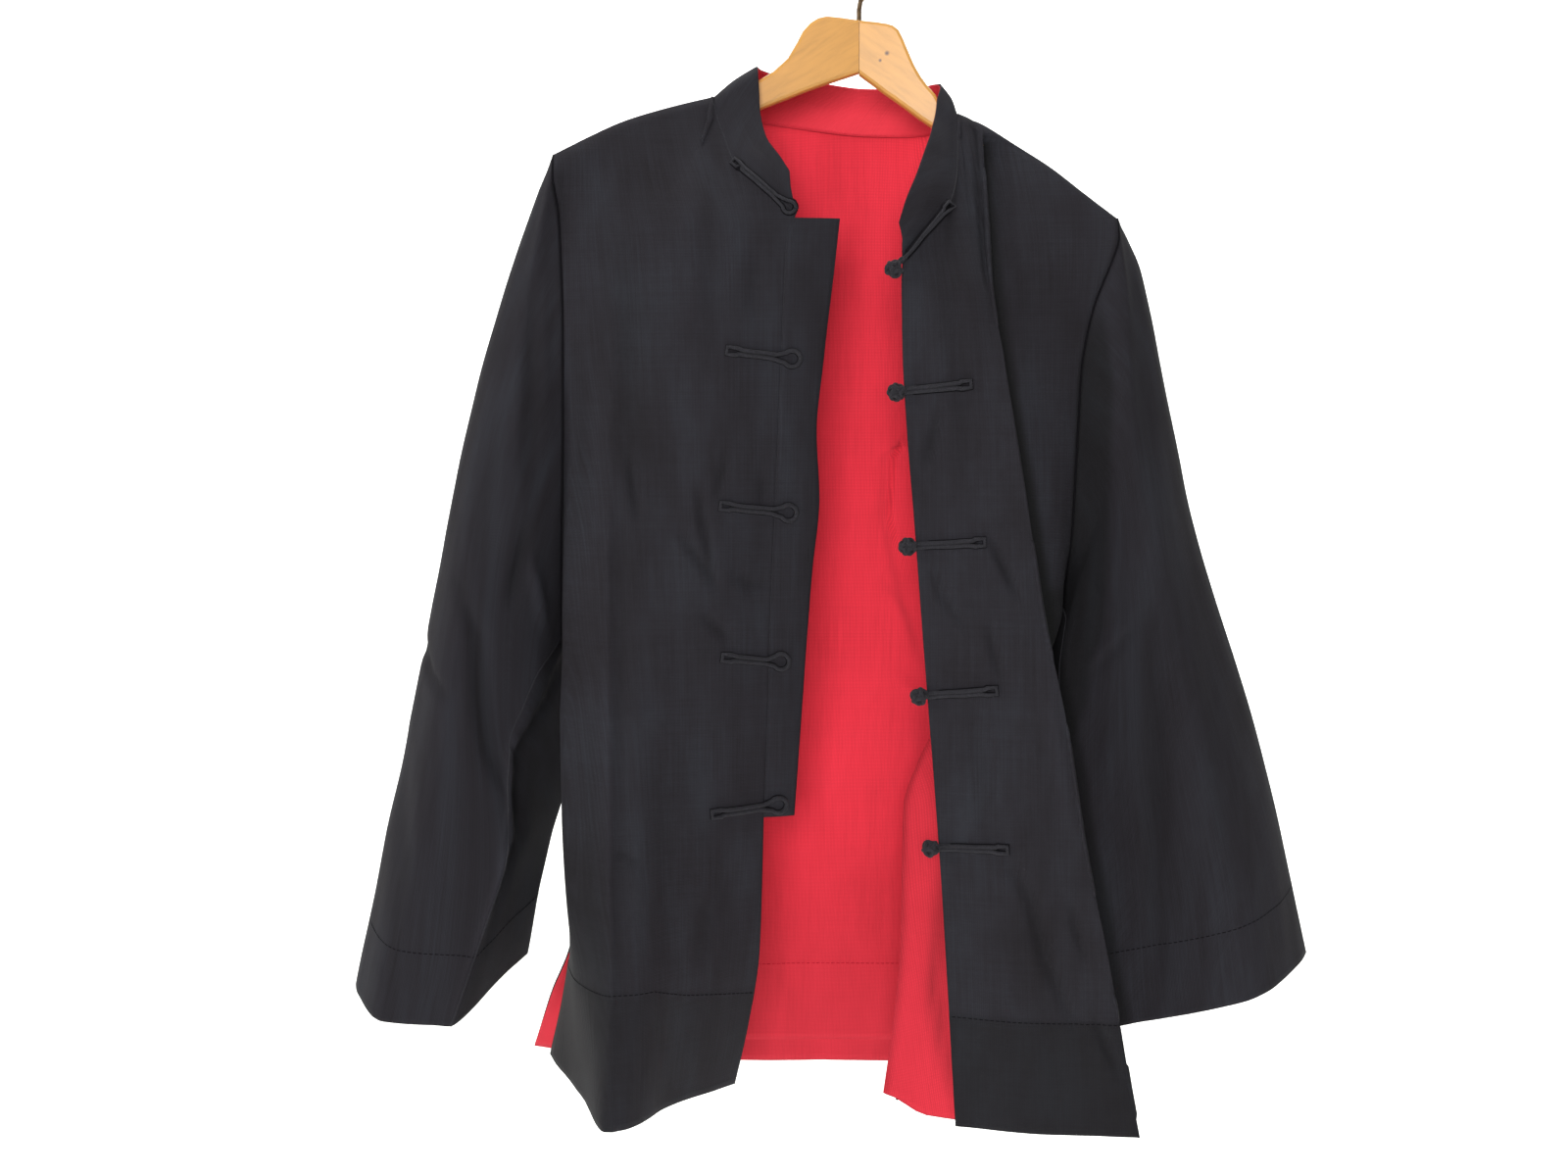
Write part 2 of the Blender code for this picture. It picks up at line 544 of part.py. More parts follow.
def knot(name, centre, material, collection):
    """A cloth button knot, just off the front edge."""
    mesh = bpy.data.meshes.new(name)
    bm = bmesh.new()
    bmesh.ops.create_uvsphere(bm, u_segments=12, v_segments=8, radius=KNOT_RADIUS)
    bmesh.ops.translate(bm, verts=bm.verts, vec=centre)
    bm.to_mesh(mesh)
    bm.free()
    item = bpy.data.objects.new(name, mesh)
    collection.objects.link(item)
    mesh.materials.append(material)
    mesh.shade_smooth()
    return item


def arm_sections(neck_stations, shoulder):
    """Stations along a hanger arm: those seen at the neck, then those under the shoulder cloth."""
    sections = list(neck_stations)
    count = len(shoulder) - 1
    for index, (x, _, z) in enumerate(shoulder):
        share = index / count
        seat = LINING_INSET + (ARM_SEAT_NECK - LINING_INSET) * max(0.0, 1 - 2 * share)
        height = ARM_HEIGHT_NECK + (ARM_HEIGHT_TIP - ARM_HEIGHT_NECK) * share
        along = x * (1 - ARM_TIP_SHORT * (index == count))
        sections.append((along, z - seat, z - seat - height))
    return sections


def hanger_arm(name, stations, plan, material, collection):
    """A flat wooden arm: one four-cornered section at each station, with rounded edges."""
    mesh = bpy.data.meshes.new(name)
    bm = bmesh.new()
    rings = []
    for x, top, bottom in stations:
        middle = -plan * abs(x)
        corners = [(middle - ARM_THICKNESS / 2, top), (middle + ARM_THICKNESS / 2, top),
                   (middle + ARM_THICKNESS / 2, bottom), (middle - ARM_THICKNESS / 2, bottom)]
        rings.append([bm.verts.new((x, y, z)) for y, z in corners])
    for ring, following in zip(rings, rings[1:]):
        for side in range(4):
            after = (side + 1) % 4
            bm.faces.new((ring[side], ring[after], following[after], following[side]))
    bm.faces.new(rings[0])
    bm.faces.new(rings[-1])
    bmesh.ops.recalc_face_normals(bm, faces=bm.faces)
    long_edges = [edge for edge in bm.edges
                  if len({round(vert.co.x, 6) for vert in edge.verts}) == 2]
    bmesh.ops.bevel(bm, geom=long_edges, offset=ARM_ROUND, offset_type="OFFSET", segments=2, profile=0.5,
                    affect="EDGES", material=-1)
    bm.to_mesh(mesh)
    bm.free()
    item = bpy.data.objects.new(name, mesh)
    collection.objects.link(item)
    mesh.materials.append(material)
    return item


def hook_route():
    """A question mark: up from the wood, round under the rail's far side, over it and down to a tip."""
    stem = [(x, WOOD_TOP_Z + rise) for x, rise in STEM]
    start, turn = math.radians(BOW_START), math.radians(BOW_TURN)
    bow = arc_points((0.0, HOOK_CENTRE_Z), start, turn, HOOK_RADIUS, BOW_STEPS)
    return stem + bow


def hook(name, material, collection):
    """The bent wire hook, whose inner top rests on the rail at the origin."""
    route = hook_route()
    curve = bpy.data.curves.new(name, "CURVE")
    curve.dimensions = "3D"
    curve.bevel_depth = WIRE / 2
    curve.bevel_resolution = 2
    curve.use_fill_caps = True
    spline = curve.splines.new("POLY")
    spline.points.add(len(route) - 1)
    for point, (x, z) in zip(spline.points, route):
        point.co = (x, 0.0, z, 1.0)
    item = bpy.data.objects.new(name, curve)
    collection.objects.link(item)
    curve.materials.append(material)
    return item


def build_cloth(materials, collection):
    """Every panel, with its lining where it shows. Returns what closures lie on, and the left front edge."""
    dark, red = materials["dark_cloth"], materials["red_cloth"]
    front_right, front_left, back = split_at_seams(*body_grids())
    forward, rearward = (0, -1, 0), (0, 1, 0)
    collar = collar_grid()
    strip = underlap_grid(front_right)
    pieces = {}
    pieces["front_right"] = sheet("front_right", front_right, forward, dark, collection)
    pieces["front_left"] = sheet("front_left", front_left, forward, dark, collection)
    sheet("back", back, rearward, dark, collection)
    pieces["collar"] = sheet("collar", collar, (-1, 0, 0), dark, collection)
    pieces["underlap"] = sheet("underlap", strip, forward, dark, collection)

    lining = moved_in(back, rearward, LINING_INSET)
    first_row = len(SHOULDER_TURN)
    sheet("back_lining", lining[first_row:-1, LINING_COLUMNS], rearward, red, collection, LINING_WALL)
    wrap_row = sum(ROW_STEPS[: ARMPIT_SECTION + 1])
    wrap_line = int(FRONT_LEFT_LINES[3])
    wrapped = moved_in(front_left, forward, LINING_INSET)
    sheet("front_left_lining", wrapped[wrap_row:, wrap_line:], rearward, red, collection, LINING_WALL)
    collar_inside = moved_in(collar, (-1, 0, 0), LINING_INSET)
    collar_inside[0] = drawn_in(collar_inside[0], collar_inside[1], COLLAR_LINING_SEAM)
    sheet("collar_lining", collar_inside[:, 1:-1], (-1, 0, 0), red, collection, LINING_WALL)

    sleeve = sleeve_grid(front_right, -1, back, 0, SLEEVE_RIGHT, -1)
    sheet("sleeve_right", sleeve, (-1, 0, 0), dark, collection, closed=True)
    sleeve = sleeve_grid(front_left, -1, back, -1, SLEEVE_LEFT, 1)
    sheet("sleeve_left", sleeve, (1, 0, 0), dark, collection, closed=True)
    return pieces, front_left[:, 0]


def build_closures(pieces, front_edge, materials, collection):
    """Five loops on the wearer's right front and five knots with their tails on the left front."""
    bpy.context.view_layer.update()
    right = surface_of(pieces["front_right"], pieces["underlap"], pieces["collar"])
    left = surface_of(pieces["front_left"], pieces["collar"])
    dark = materials["dark_cloth"]
    for number, closure in enumerate(LOOPS, 1):
        lift = LOOP_LIFT_AT_COLLAR if number == 1 else 0.0
        cord(f"loop_{number}", loop_route(closure), right, lift, dark, collection)
    for number, place in enumerate(KNOTS, 1):
        lift = TAIL_LIFT_AT_COLLAR if number == 1 else 0.0
        edge = [np.interp(-place.height, -front_edge[:, 2], front_edge[:, axis]) for axis in range(2)]
        centre = (edge[0] - KNOT_PAST_EDGE, edge[1] - KNOT_IN_FRONT, place.height)
        heading = math.atan2(place.tail[1] - centre[2], place.tail[0] - centre[0])
        reach = KNOT_RADIUS + KNOT_TO_TAIL
        start = (centre[0] + reach * math.cos(heading), centre[2] + reach * math.sin(heading))
        cord(f"tail_{number}", tail_route(start, place.tail), left, lift, dark, collection)
        knot(f"knot_{number}", centre, dark, collection)


def build_hanger(materials, collection):
    """The two arms and the hook."""
    beech = materials["beech"]
    right = arm_sections(ARM_RIGHT, SHOULDER_RIGHT)
    left = arm_sections(ARM_LEFT, SHOULDER_LEFT)
    hanger_arm("hanger_arm_right", right, ARM_PLAN_RIGHT, beech, collection)
    hanger_arm("hanger_arm_left", left, ARM_PLAN_LEFT, beech, collection)
    hook("hook", materials["steel"], collection)


def main():
    """Builds the jacket and its hanger."""
    clear_scene()
    collection = new_collection("mandarin_collar_jacket")
    materials = make_materials()
    pieces, front_edge = build_cloth(materials, collection)
    build_closures(pieces, front_edge, materials, collection)
    build_hanger(materials, collection)


main()
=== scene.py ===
"""Looks of a reversible mandarin collar jacket that hangs on a wooden hanger.

Metres, +Z up. The wearer's front faces -Y and the wearer's left is +X. The hook's rail is at the origin.
"""

import math
from collections import namedtuple
from functools import lru_cache

import bmesh
import bpy
import numpy as np
from bpy.props import FloatProperty, FloatVectorProperty, PointerProperty
from mathutils import Matrix, Vector, noise
from mathutils.bvhtree import BVHTree


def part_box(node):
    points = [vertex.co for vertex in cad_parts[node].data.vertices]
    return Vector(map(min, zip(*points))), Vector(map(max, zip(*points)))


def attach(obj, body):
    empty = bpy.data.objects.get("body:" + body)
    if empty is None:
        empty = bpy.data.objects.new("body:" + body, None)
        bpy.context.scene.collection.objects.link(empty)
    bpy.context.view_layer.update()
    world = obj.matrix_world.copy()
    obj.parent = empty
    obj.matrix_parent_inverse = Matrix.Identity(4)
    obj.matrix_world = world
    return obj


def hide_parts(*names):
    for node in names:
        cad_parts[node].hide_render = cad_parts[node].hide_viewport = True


bl_info = {
    "name": "Mandarin Collar Jacket",
    "version": (1, 0, 0),
    "blender": (4, 5, 0),
    "location": "View3D > Sidebar > Jacket",
    "description": "Builds the looks of a reversible mandarin collar jacket on its hanger",
    "category": "Add Mesh",
}

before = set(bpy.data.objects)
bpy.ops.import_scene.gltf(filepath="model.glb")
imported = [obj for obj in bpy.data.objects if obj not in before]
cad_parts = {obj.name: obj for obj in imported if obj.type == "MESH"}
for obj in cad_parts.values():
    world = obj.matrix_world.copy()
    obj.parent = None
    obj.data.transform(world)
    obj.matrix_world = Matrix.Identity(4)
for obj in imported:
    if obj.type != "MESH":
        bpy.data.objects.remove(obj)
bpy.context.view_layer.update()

# The photograph's camera, for a 1600 x 1200 image
PHOTO_WIDTH = 1600
FOCAL_PIXELS = 1700.0
SENSOR = 36.0
CAMERA_PLACE = (-0.0547, -1.25, -0.361)
CAMERA_DIP = math.atan(0.1)

# Cloth
WALL = 0.0013
LINING_WALL = 0.0003
SEAM_GAP = 0.0003
LINING_INSET = 0.0016
FINER_ROWS = 10
FINER_COLUMNS = 8
PIT_EASE = 0.0100
UPPER_TUCK = (-0.003, 0.008, -0.001)
UPPER_FOLD_OUT = 0.004
WRAP_DROP = 0.0120
WRAP_OVER = 0.0012
VENT_FLARE = 0.0055

# How much the tone changes, as shares: painted shade in creases and painted highlight on ridges, with wear,
# in hem bands, and painted shade and shadow in the recess by the long fold, under the arm, on the left sleeve
# beside the body, on the turned side, by the armhole, inside the collar and on the wrapped red. These match
# the photograph's brightness under this scene's light.
CREASE_SHADE_TONE = 0.22
CREASE_TONE_DEPTH = 0.0024
WEAR_TONE = 0.09
BAND_TONES = {"front_right": 0.238, "front_left": 0.425}
RECESS_SHADE_TONE = 0.88
RECESS_FADE = 0.0080
UNDERARM_SHADE_TONE = 0.25
SHADED_TONE = 0.56
FOLD_SHADOW_TONE = 0.60
TURNED_SIDE_SHADE_TONE = 0.50
ARMHOLE_SHADE_TONE = 0.60
ARMHOLE_REACH = 0.0045
COLLAR_LINING_SHADE_TONE = 0.80
WRAP_SHADE_TONE = 0.74
RED_FOOT_TONE = 0.34

# Where these tones come and go. Drops are metres below the rail; columns are those of the unrefined grids.
TURNED_SIDE_COLUMNS = (8.3, 9.6)
TURNED_SIDE_DROPS = (0.620, 0.770)
BEHIND_FOLD_COLUMNS = (8.7, 9.0)
SEAM_SIDE_DROPS = (0.270, 0.350, 0.510, 0.530)
BELOW_PIT_DROPS = (0.478, 0.488, 0.580, 0.620)
UNDERARM_COLUMNS = (10.0, 10.4, 13.0, 15.0)
SLEEVE_FRONT = (-0.010, 0.010)
SHADED_EDGE = (-0.005, 0.002)
SHADED_DROPS = (0.262, 0.310, 0.626, 0.650)
CLOSE_EDGE = (0.002, 0.009)
CLOSE_DROPS = (0.460, 0.490)
RED_FOOT_DROPS = (0.62, 0.86)

# Where shapes come and go on the front with the long fold, and on the foot of the collar's lining
ON_FRONT_COLUMNS = (8.2, 9.0)
WRAP_CORNER_COLUMNS = (10.3, 11.2, 11.5, 12.0)
WRAP_CORNER_DROPS = (0.800, 0.871)
LINING_FOOT_COLUMNS = (44, 50, 84, 90)

# The tables are in millimetres, and a section's rise is in millimetres per metre.


def numbers(text):
    """Rows of numbers parted by semicolons, in metres."""
    return [[float(word) / 1000 for word in row.split()] for row in text.split(";")]


def grouped(values, size):
    """The values in groups of a size."""
    return [tuple(values[place: place + size]) for place in range(0, len(values), size)]


Section = namedtuple("Section", "z rise plan")


def sections(text):
    """Cuts across the garment: height at x = 0, rise, and where the cloth passes in plan, as (x, y)."""
    return [Section(row[0], row[1], grouped(row[2:], 2)) for row in numbers(text)]


def rings(text):
    """Sleeve rings: points at the outer fold, the front, the underarm seam, the inner edge and the back."""
    return [grouped(row, 3) for row in numbers(text)]


# A crease's half width, its depth (out of the cloth is positive), its line on (x, z), and how sharp it is
# (1 is a pressed line, 2 a soft fold).
Crease = namedtuple("Crease", "width depth line power")


def creases(text):
    """Creases listed one to a row: half width, depth, sharpness and the line."""
    return [Crease(row[0], row[1], grouped(row[3:], 2), round(row[2] * 1000)) for row in numbers(text)]


# By depth below the rail: how far right of the long fold the painted shade of the recess reaches, the outer
# edge of the painted shadow on the wearer's left sleeve, and where the long fold passes in front of that
# sleeve, which bounds the fold's painted shadow on it.
RECESS_REACH = numbers("""
    150 2; 262 3.5; 430 6.5; 511 8.5
""")
SHADED_TO = numbers("""
    270 174.9; 326 183; 453 182.7; 510 181.6; 539 172.9; 568 170.6; 597 161.8; 626 150.7
""")
BEHIND_FOLD = numbers("""
    453 128.7; 510 140.2; 568 152.6; 626 165.2; 671 171.7; 715 182.7; 760 190.1; 805 199.1
""")

# Lines across: front edge, chest, crease, fold, side
FRONT_RIGHT = sections("""
    -235 -105  -52 -56  -105 -56  -172 -46  -199 -40  -216 -36;
    -310 -105  -56 -55  -115 -60  -175 -55  -201 -42  -214 -35;
    -430 -105  -61 -52  -118 -63  -179 -64  -209 -42  -217 -24;
    -511 69  -65 -50  -122 -66  -181 -70  -217 -36  -222 0;
    -580 0  -67 -48  -124 -67  -181 -77  -220 -38  -221 8;
    -655 0  -70 -45  -126 -68  -180 -85  -219 -40  -219 15;
    -758 0  -73 -35  -125 -65  -177 -95  -214 -36  -221 20;
    -868 0  -93 -11  -138 -52  -183 -100  -208 -36  -243 49
""")
FRONT_RIGHT_LINES = (0, 4, 9, 10, 11)

# Lines across: front edge, chest, long fold, tuck behind it, inner line, side
FRONT_LEFT = sections("""
    -262 -105  28 -61  60 -64  94.3 -58  89.3 -47  132 -42  168 -36;
    -310 -105  29 -62  65 -68  100.6 -67  92.6 -52  130 -44  160 -35;
    -430 -80  38 -66  78 -74  119.9 -78  110 -61  138 -48  157 -26;
    -511 69  44 -69  86 -79  130 -83  119 -65  147 -40  155 3;
    -580 0  50 -71  96 -81  146.8 -86  135.8 -69  110 -36  72 -3;
    -655 0  56 -73  105 -85  158.7 -90  152.7 -77  100 -40  38 -3;
    -758 0  63 -78  118 -92  179.3 -96  173.3 -84  105 -46  36 -10;
    -871 0  70 -83  132 -98  200 -103  193 -91  113 -60  22 -24
""")
FRONT_LEFT_LINES = (0, 4, 8, 9, 10.5, 12)
WRAP_LINE = 9

# Lines across: right side, right fold, right, centre, left, left fold, gusset, left side
BACK = sections("""
    -235 -105  -216 0  -195 8  -115 26  5 42  80 28  125 14  150 6  172 -2;
    -310 -105  -214 15  -195 26  -115 37  5 44  85 37  128 28  148 20  160 12;
    -430 -80  -217 12  -198 32  -113 43  6 47  90 43  133 34  148 24  157 12;
    -511 69  -222 0  -207 33  -112 47  7 51  92 47  140 38  152 22  155 3;
    -580 0  -221 8  -207 36  -110 49  8 53  95 50  146 44  112 26  72 -3;
    -655 0  -219 15  -207 42  -108 53  9 57  98 55  152 50  106 28  38 -3;
    -758 0  -221 20  -212 52  -105 58  10 61  105 60  165 55  112 24  36 -10;
    -880 0  -264 100  -226 86  -105 68  12 66  112 65  178 60  115 20  31 -16
""")
BACK_LINES = (0, 1.5, 4, 7.5, 11, 12.5, 14, 15)

# The neck seam and the shoulder line, from the front edge out to the hanger's tip.
NECK_RIGHT = numbers("""
    -46 -55 -215; -62 -53 -202; -79 -48 -188; -91 -40 -176; -98 -32 -158; -103 -27.5 -144;
    -105.5 -24.5 -133.5
""")
SHOULDER_RIGHT = numbers("""
    -106 -14.7 -128; -126 -17.5 -133; -168 -23.4 -146; -196 -27.2 -159; -219 -30.4 -171
""")
NECK_LEFT = numbers("""
    29 -60 -248; 42 -58 -233; 53 -55 -219; 63 -50 -206; 69 -38 -183; 70.5 -26 -157; 71 -22.2 -146
""")
SHOULDER_LEFT = numbers("""
    71 -11.7 -139; 88 -14.5 -147; 113 -18.6 -163; 137 -22.6 -179; 161 -26.6 -198; 184 -30.4 -216
""")
NECK_BACK = numbers("""
    -99 -3 -130.5; -84 22 -136; -55 36 -139; 4 45 -145; 40 41 -146; 60 26 -146; 66.7 3 -141.7
""")

# Over the hanger's arm each shoulder turns down in three steps: (away from the shoulder line, down).
SHOULDER_TURN = [(0.0042, 0.0001), (0.0088, 0.0042), (0.0122, 0.0160)]
NECK_TURN = (0.05, 0.16, 0.36)

# The collar's free edge, above each point of the neck seam.
COLLAR_TOP = numbers("""
    -51 -53 -185; -57 -49 -175; -62 -45 -168; -67 -40 -160; -72 -28.5 -138; -72.5 -24 -124;
    -73.5 -20.5 -111; -74.5 -8 -104; -73 6 -103; -64 24 -103; -46 42 -103; 4 60 -108; 36 54 -109;
    53 34 -110; 60 10 -113; 60 -6 -117; 56 -19 -129; 54 -24 -142; 51 -34 -154; 46 -44 -168; 39 -55 -187;
    31 -61 -206; 26 -63 -222
""")
COLLAR_BULGE = 0.0022

# Where two walls meet at an angle their edges are drawn back, so that the inner corners stay apart.
SIDE_SEAM_BACK = 0.0007
SIDE_SEAM_FRONT = 0.0002
SHOULDER_SEAM = 0.0004
ARMHOLE_SEAM = 0.0010
COLLAR_SEAM = 0.0004
COLLAR_LINING_SEAM = 0.0006

# Strip under the loops: outer edge, from neck to waist.
UNDERLAP_OUTER = numbers("""
    -15 -50 -218; -19 -50 -255; -26 -49 -315; -31 -47 -368; -29 -46 -417; -34 -45 -470; -38 -43 -523;
    -42 -42 -580; -47 -40 -651
""")

# Sleeve rings below the armhole
SLEEVE_RIGHT = rings("""
    -250 -18 -239  -246 -48 -370  -236 -28 -545  -220.5 20 -552  -244 16 -370;
    -280 -12 -332  -270 -50 -440  -248 -36 -572  -219.5 30 -590  -264 22 -440;
    -308 -8 -445  -290 -52 -520  -259 -40 -605  -222.5 32 -630  -280 26 -520;
    -332 -6 -560  -305 -54 -610  -258 -42 -665  -236.5 26 -682  -292 30 -610;
    -358 -4 -670  -328 -54 -702  -276 -45 -730  -246 14 -728  -305 34 -700;
    -384 -3 -792  -352 -56 -803  -302 -52 -808  -257 28 -778  -318 38 -785
""")
SLEEVE_LEFT = rings("""
    204 -18 -246  190 -47 -360  155 -18 -508  146.5 6 -519  190 16 -360;
    223 -13 -321  203 -50 -430  150 -22 -547  141 4 -558  204 22 -430;
    249 -9 -427  221 -52 -520  151 -24 -612  146 3 -620  222 26 -520;
    285 -6 -540  247 -54 -605  162 -27 -680  158 3 -686  245 30 -605;
    318 -5 -650  270 -55 -700  177 -30 -748  176 4 -745  268 32 -690;
    346 -4 -767  286 -56 -787  193 -36 -814  192 4 -806  290 34 -775
""")
OUTER_FOLD_SHARE = 0.10
OUTER_FOLD_DEPTH = 0.006

# Fine rows between one section and the next, from the shoulder line down, and the rows at armpit and vent.
ROW_STEPS = (1, 1, 1, 1, 2, 2, 2, 2, 2, 2, 2)
ARMPIT_ROW = sum(ROW_STEPS[:7])
VENT_ROW = sum(ROW_STEPS[:10])

# Closures on (x, z): the tail's end, where the cords part, and the middle of the eye or knot.
Closure = namedtuple("Closure", "tail neck eye")
LOOPS = [
    Closure((-0.0905, -0.1765), (-0.0600, -0.2035), (-0.0510, -0.2105)),
    Closure((-0.095, -0.311), (-0.0600, -0.3155), (-0.0490, -0.3165)),
    Closure((-0.100, -0.421), (-0.0620, -0.4255), (-0.0515, -0.4265)),
    Closure((-0.099, -0.530), (-0.0670, -0.5345), (-0.0570, -0.5350)),
    Closure((-0.107, -0.645), (-0.0700, -0.6430), (-0.0590, -0.6420)),
]

# Knots: the tail's end on (x, z) and the knot's height at the front edge.
Knot = namedtuple("Knot", "tail height")
KNOTS = [
    Knot((0.062, -0.2085), -0.2545),
    Knot((0.077, -0.335), -0.3405),
    Knot((0.087, -0.446), -0.4495),
    Knot((0.096, -0.551), -0.5565),
    Knot((0.105, -0.665), -0.6665),
]

# Closures
RUN_APART = 0.0031
EYE_RADIUS = 0.0058
EYE_OPEN = 2.45
TAIL_SQUARE = 0.0080
TAIL_FLARE = 1.60
KNOT_TO_TAIL = 0.0008
CORD_STEP = 0.0030
CORD_SEED = 1
COLLAR_CORD = 0.76
FURTHEST_BACK = -0.020
# The dark thread rims round the cords stand for whip stitches and mainly for the cords' painted shadow: their
# radius against the cord's, and how far their line sinks
EDGE_STITCH_AND_SHADOW = 1.45
EDGE_SINK = 0.60
LOOP_LIFT_AT_COLLAR = 0.0004
TAIL_LIFT_AT_COLLAR = 0.0022
SEAM_RADIUS = 0.0007
NECK_SEAM_RADIUS = 0.0010
LINING_FOOT = 0.0028
LINING_FOOT_LEAST = 0.0003
RIGHT_SIDE_IN = (0.0007, 0, 0)
LEFT_SIDE_IN = (0.0010, 0, 0)
SHOULDER_SEAM_IN = (0, 0, -0.0007)
UNDERLAP_SEAM_IN = (-0.0003, 0.0006, 0)
ARMHOLE_SINK = 0.006

# Hanger
ARM_SLOPE_LEFT = 0.62
ARM_SLOPE_RIGHT = 0.56

# Dark knots in the wood, each at a place and with a reach.
WOOD_KNOTS = [((0.0201, -0.0078, -0.0951), 0.0024), ((0.0152, -0.0071, -0.1000), 0.0017)]

CREASES_RIGHT = creases("""
    2.2 2.4 1  -180 -420  -180 -549  -179 -660  -178 -740  -178 -868;
    7 -1.2 2  -172 -420  -171 -549  -170 -660  -169 -740;
    3 -2.2 2  -165 -388  -162 -410  -158 -432;
    3.6 -2.4 2  -129 -441  -116 -458  -102 -480;
    3.2 -2.4 2  -116 -408  -113 -431  -104 -473;
    3 -1.6 2  -96 -390  -103 -413;
    3 -1.4 2  -71 -399  -70 -419;
    3.2 -2 2  -114 -498  -104 -508  -94 -517;
    3.4 -2 2  -92 -470  -80 -478  -66 -478;
    3.2 -1.8 2  -176 -667  -165 -672  -154 -679;
    12 -1.8 2  -163 -236  -163 -313  -163 -396;
    10 -1.4 2  -105 -197  -105 -251  -105 -311;
    7 -1.2 2  -75 -237  -75 -290;
    3.4 -2.6 2  -214 -181  -213 -200  -214 -225;
    8 -1.6 2  -206 -300  -203 -360  -205 -440;
    8 -1.6 2  -196 -560  -198 -640  -197 -720;
    11 -1.2 2  -140 -600  -139 -660  -142 -740;
    6 -1.4 2  -100 -690  -112 -720  -120 -760
""")
CREASES_LEFT = creases("""
    3.6 -2.4 2  57 -351  51 -371  45 -393;
    3.4 -1.6 2  49 -462  58 -485  75 -508;
    3.6 -1.8 2  90 -504  99 -544;
    3.4 -2.4 2  91 -443  101 -464  111 -484;
    5 -2.6 2  104 -672  121 -700  131 -741  152 -788;
    3.4 -1.8 2  150 -705  160 -745;
    3.4 -2 2  167 -786  184 -824;
    9 -1.2 2  60 -250  66 -320  78 -400;
    6 -1.4 2  94 -180  92 -230  94 -300;
    8 -1.2 2  80 -560  88 -620  94 -680;
    7 1.2 2  130 -520  138 -580  150 -650;
    6 0.8 2  110 -240  120 -330  134 -430;
    1.9 -4 2  80 -112  81.5 -132  82.6 -150  83.6 -187  85.8 -223  88.5 -264
""")
CREASES_BACK = creases("""
    11 -2 2  -190 -250  -186 -360  -189 -480;
    10 -1.8 2  -150 -480  -154 -600  -150 -760;
    10 -2 2  105 -260  108 -390  104 -500;
    12 -1.6 2  90 -520  94 -640  90 -800;
    11 -1.6 2  -70 -620  -66 -700  -70 -820;
    6 -1.4 2  -160 -300  -130 -330  -110 -345;
    5 -1.4 2  30 -560  50 -575  72 -584;
    5 -1.2 2  -40 -420  -60 -440  -85 -452
""")
CREASES_SLEEVE_RIGHT = creases("""
    4.6 -3.2 2  -241 -440  -247 -465  -254 -492;
    6 -3.6 2  -291 -478  -277 -517  -275 -568  -271 -600  -257 -636  -257 -680;
    4.2 2.6 2  -239 -460  -231 -515;
    7 -2.2 2  -235 -264  -236 -330  -238 -405;
    2.8 2 1  -231 -543  -240 -564  -252 -588  -260 -605  -258 -642  -261 -671  -267 -701  -276 -730
       -287 -759  -301 -802;
    5 -2.2 2  -330 -520  -316 -545  -300 -560;
    10 -1.8 2  -340 -600  -335 -680  -346 -770;
    9 -1.6 2  -262 -360  -270 -420  -278 -470;
    1.8 2.4 2  -222.7 -530  -237.6 -564  -258.1 -602  -255.6 -668  -285.7 -756;
    2.6 -2.2 2  -220 -536  -233 -570  -253 -606  -251 -668  -279 -757
""")
CREASES_SLEEVE_LEFT = creases("""
    4.4 -1.2 2  172 -549  184 -530  200 -510;
    4 1.2 2  174 -535  186 -520  194 -506;
    9 -2.4 2  208 -480  215 -626  224 -785;
    4.4 -0.8 2  168 -470  176 -486  190 -496;
    9 -1.6 2  196 -230  204 -320  210 -420;
    10 -1.6 2  255 -520  262 -600  276 -700;
    8 1.2 2  300 -640  312 -700  322 -760
""")
CREASES_COLLAR = creases("""
    3 -0.8 2  -66 -176  -74 -166  -82 -150;
    3 -0.8 2  50 -168  60 -176
""")

# These change only the tone, by the second number in thousandths: painted shade in faint folds of the back
# lining, and the painted shadow of the front on the wrapped red beside the front's edge.
LINING_FOLD_SHADES = creases("""
    3.4 130 2  24.7 -448.4  31 -479.1  38.1 -506  48.3 -538.5  56 -555;
    3.4 100 2  21.1 -486  31.1 -495.2  42 -512.2  47.5 -533.1
""")
WRAP_SHADOW_LINE = creases("5.5 420 2  64 -700  60 -760  58 -788  62.7 -818  71.2 -863")

# Where a sheet's inner side never shows it is dark too: for each piece, the columns, and the last row of it
HIDDEN = {
    "front_left": [(7.0, 10.0, 99), (3.0, 12.0, 6)],
    "front_right": [(10.0, 11.0, 14), (3.0, 11.0, 6)],
    "back": [(0.0, 1.0, 14), (14.0, 15.0, 14)],
    "sleeve_right": [(0.0, 20.0, 3)],
    "sleeve_left": [(0.0, 20.0, 5)],
    "underlap": [(0.0, 0.5, 99)],
}

# A tuck in the back lining: the line down its near side. Right of it the lining stands towards the opening.
TUCK_LINE = numbers("""
    29 -383; 25 -389; 24 -411; 22 -435; 28 -455; 35 -482; 44 -515; 56 -545
""")
TUCK_HEIGHT = 0.0060
TUCK_STEP = 0.0090
TUCK_TOP = -0.383
TUCK_TILT = 0.37
TUCK_FADES = (0.420, 0.500)
TUCK_BACK = (0.006, 0.070)

# A wave texture at scale 1 repeats every 0.314159 m.
WAVE_PERIOD = math.pi / 10

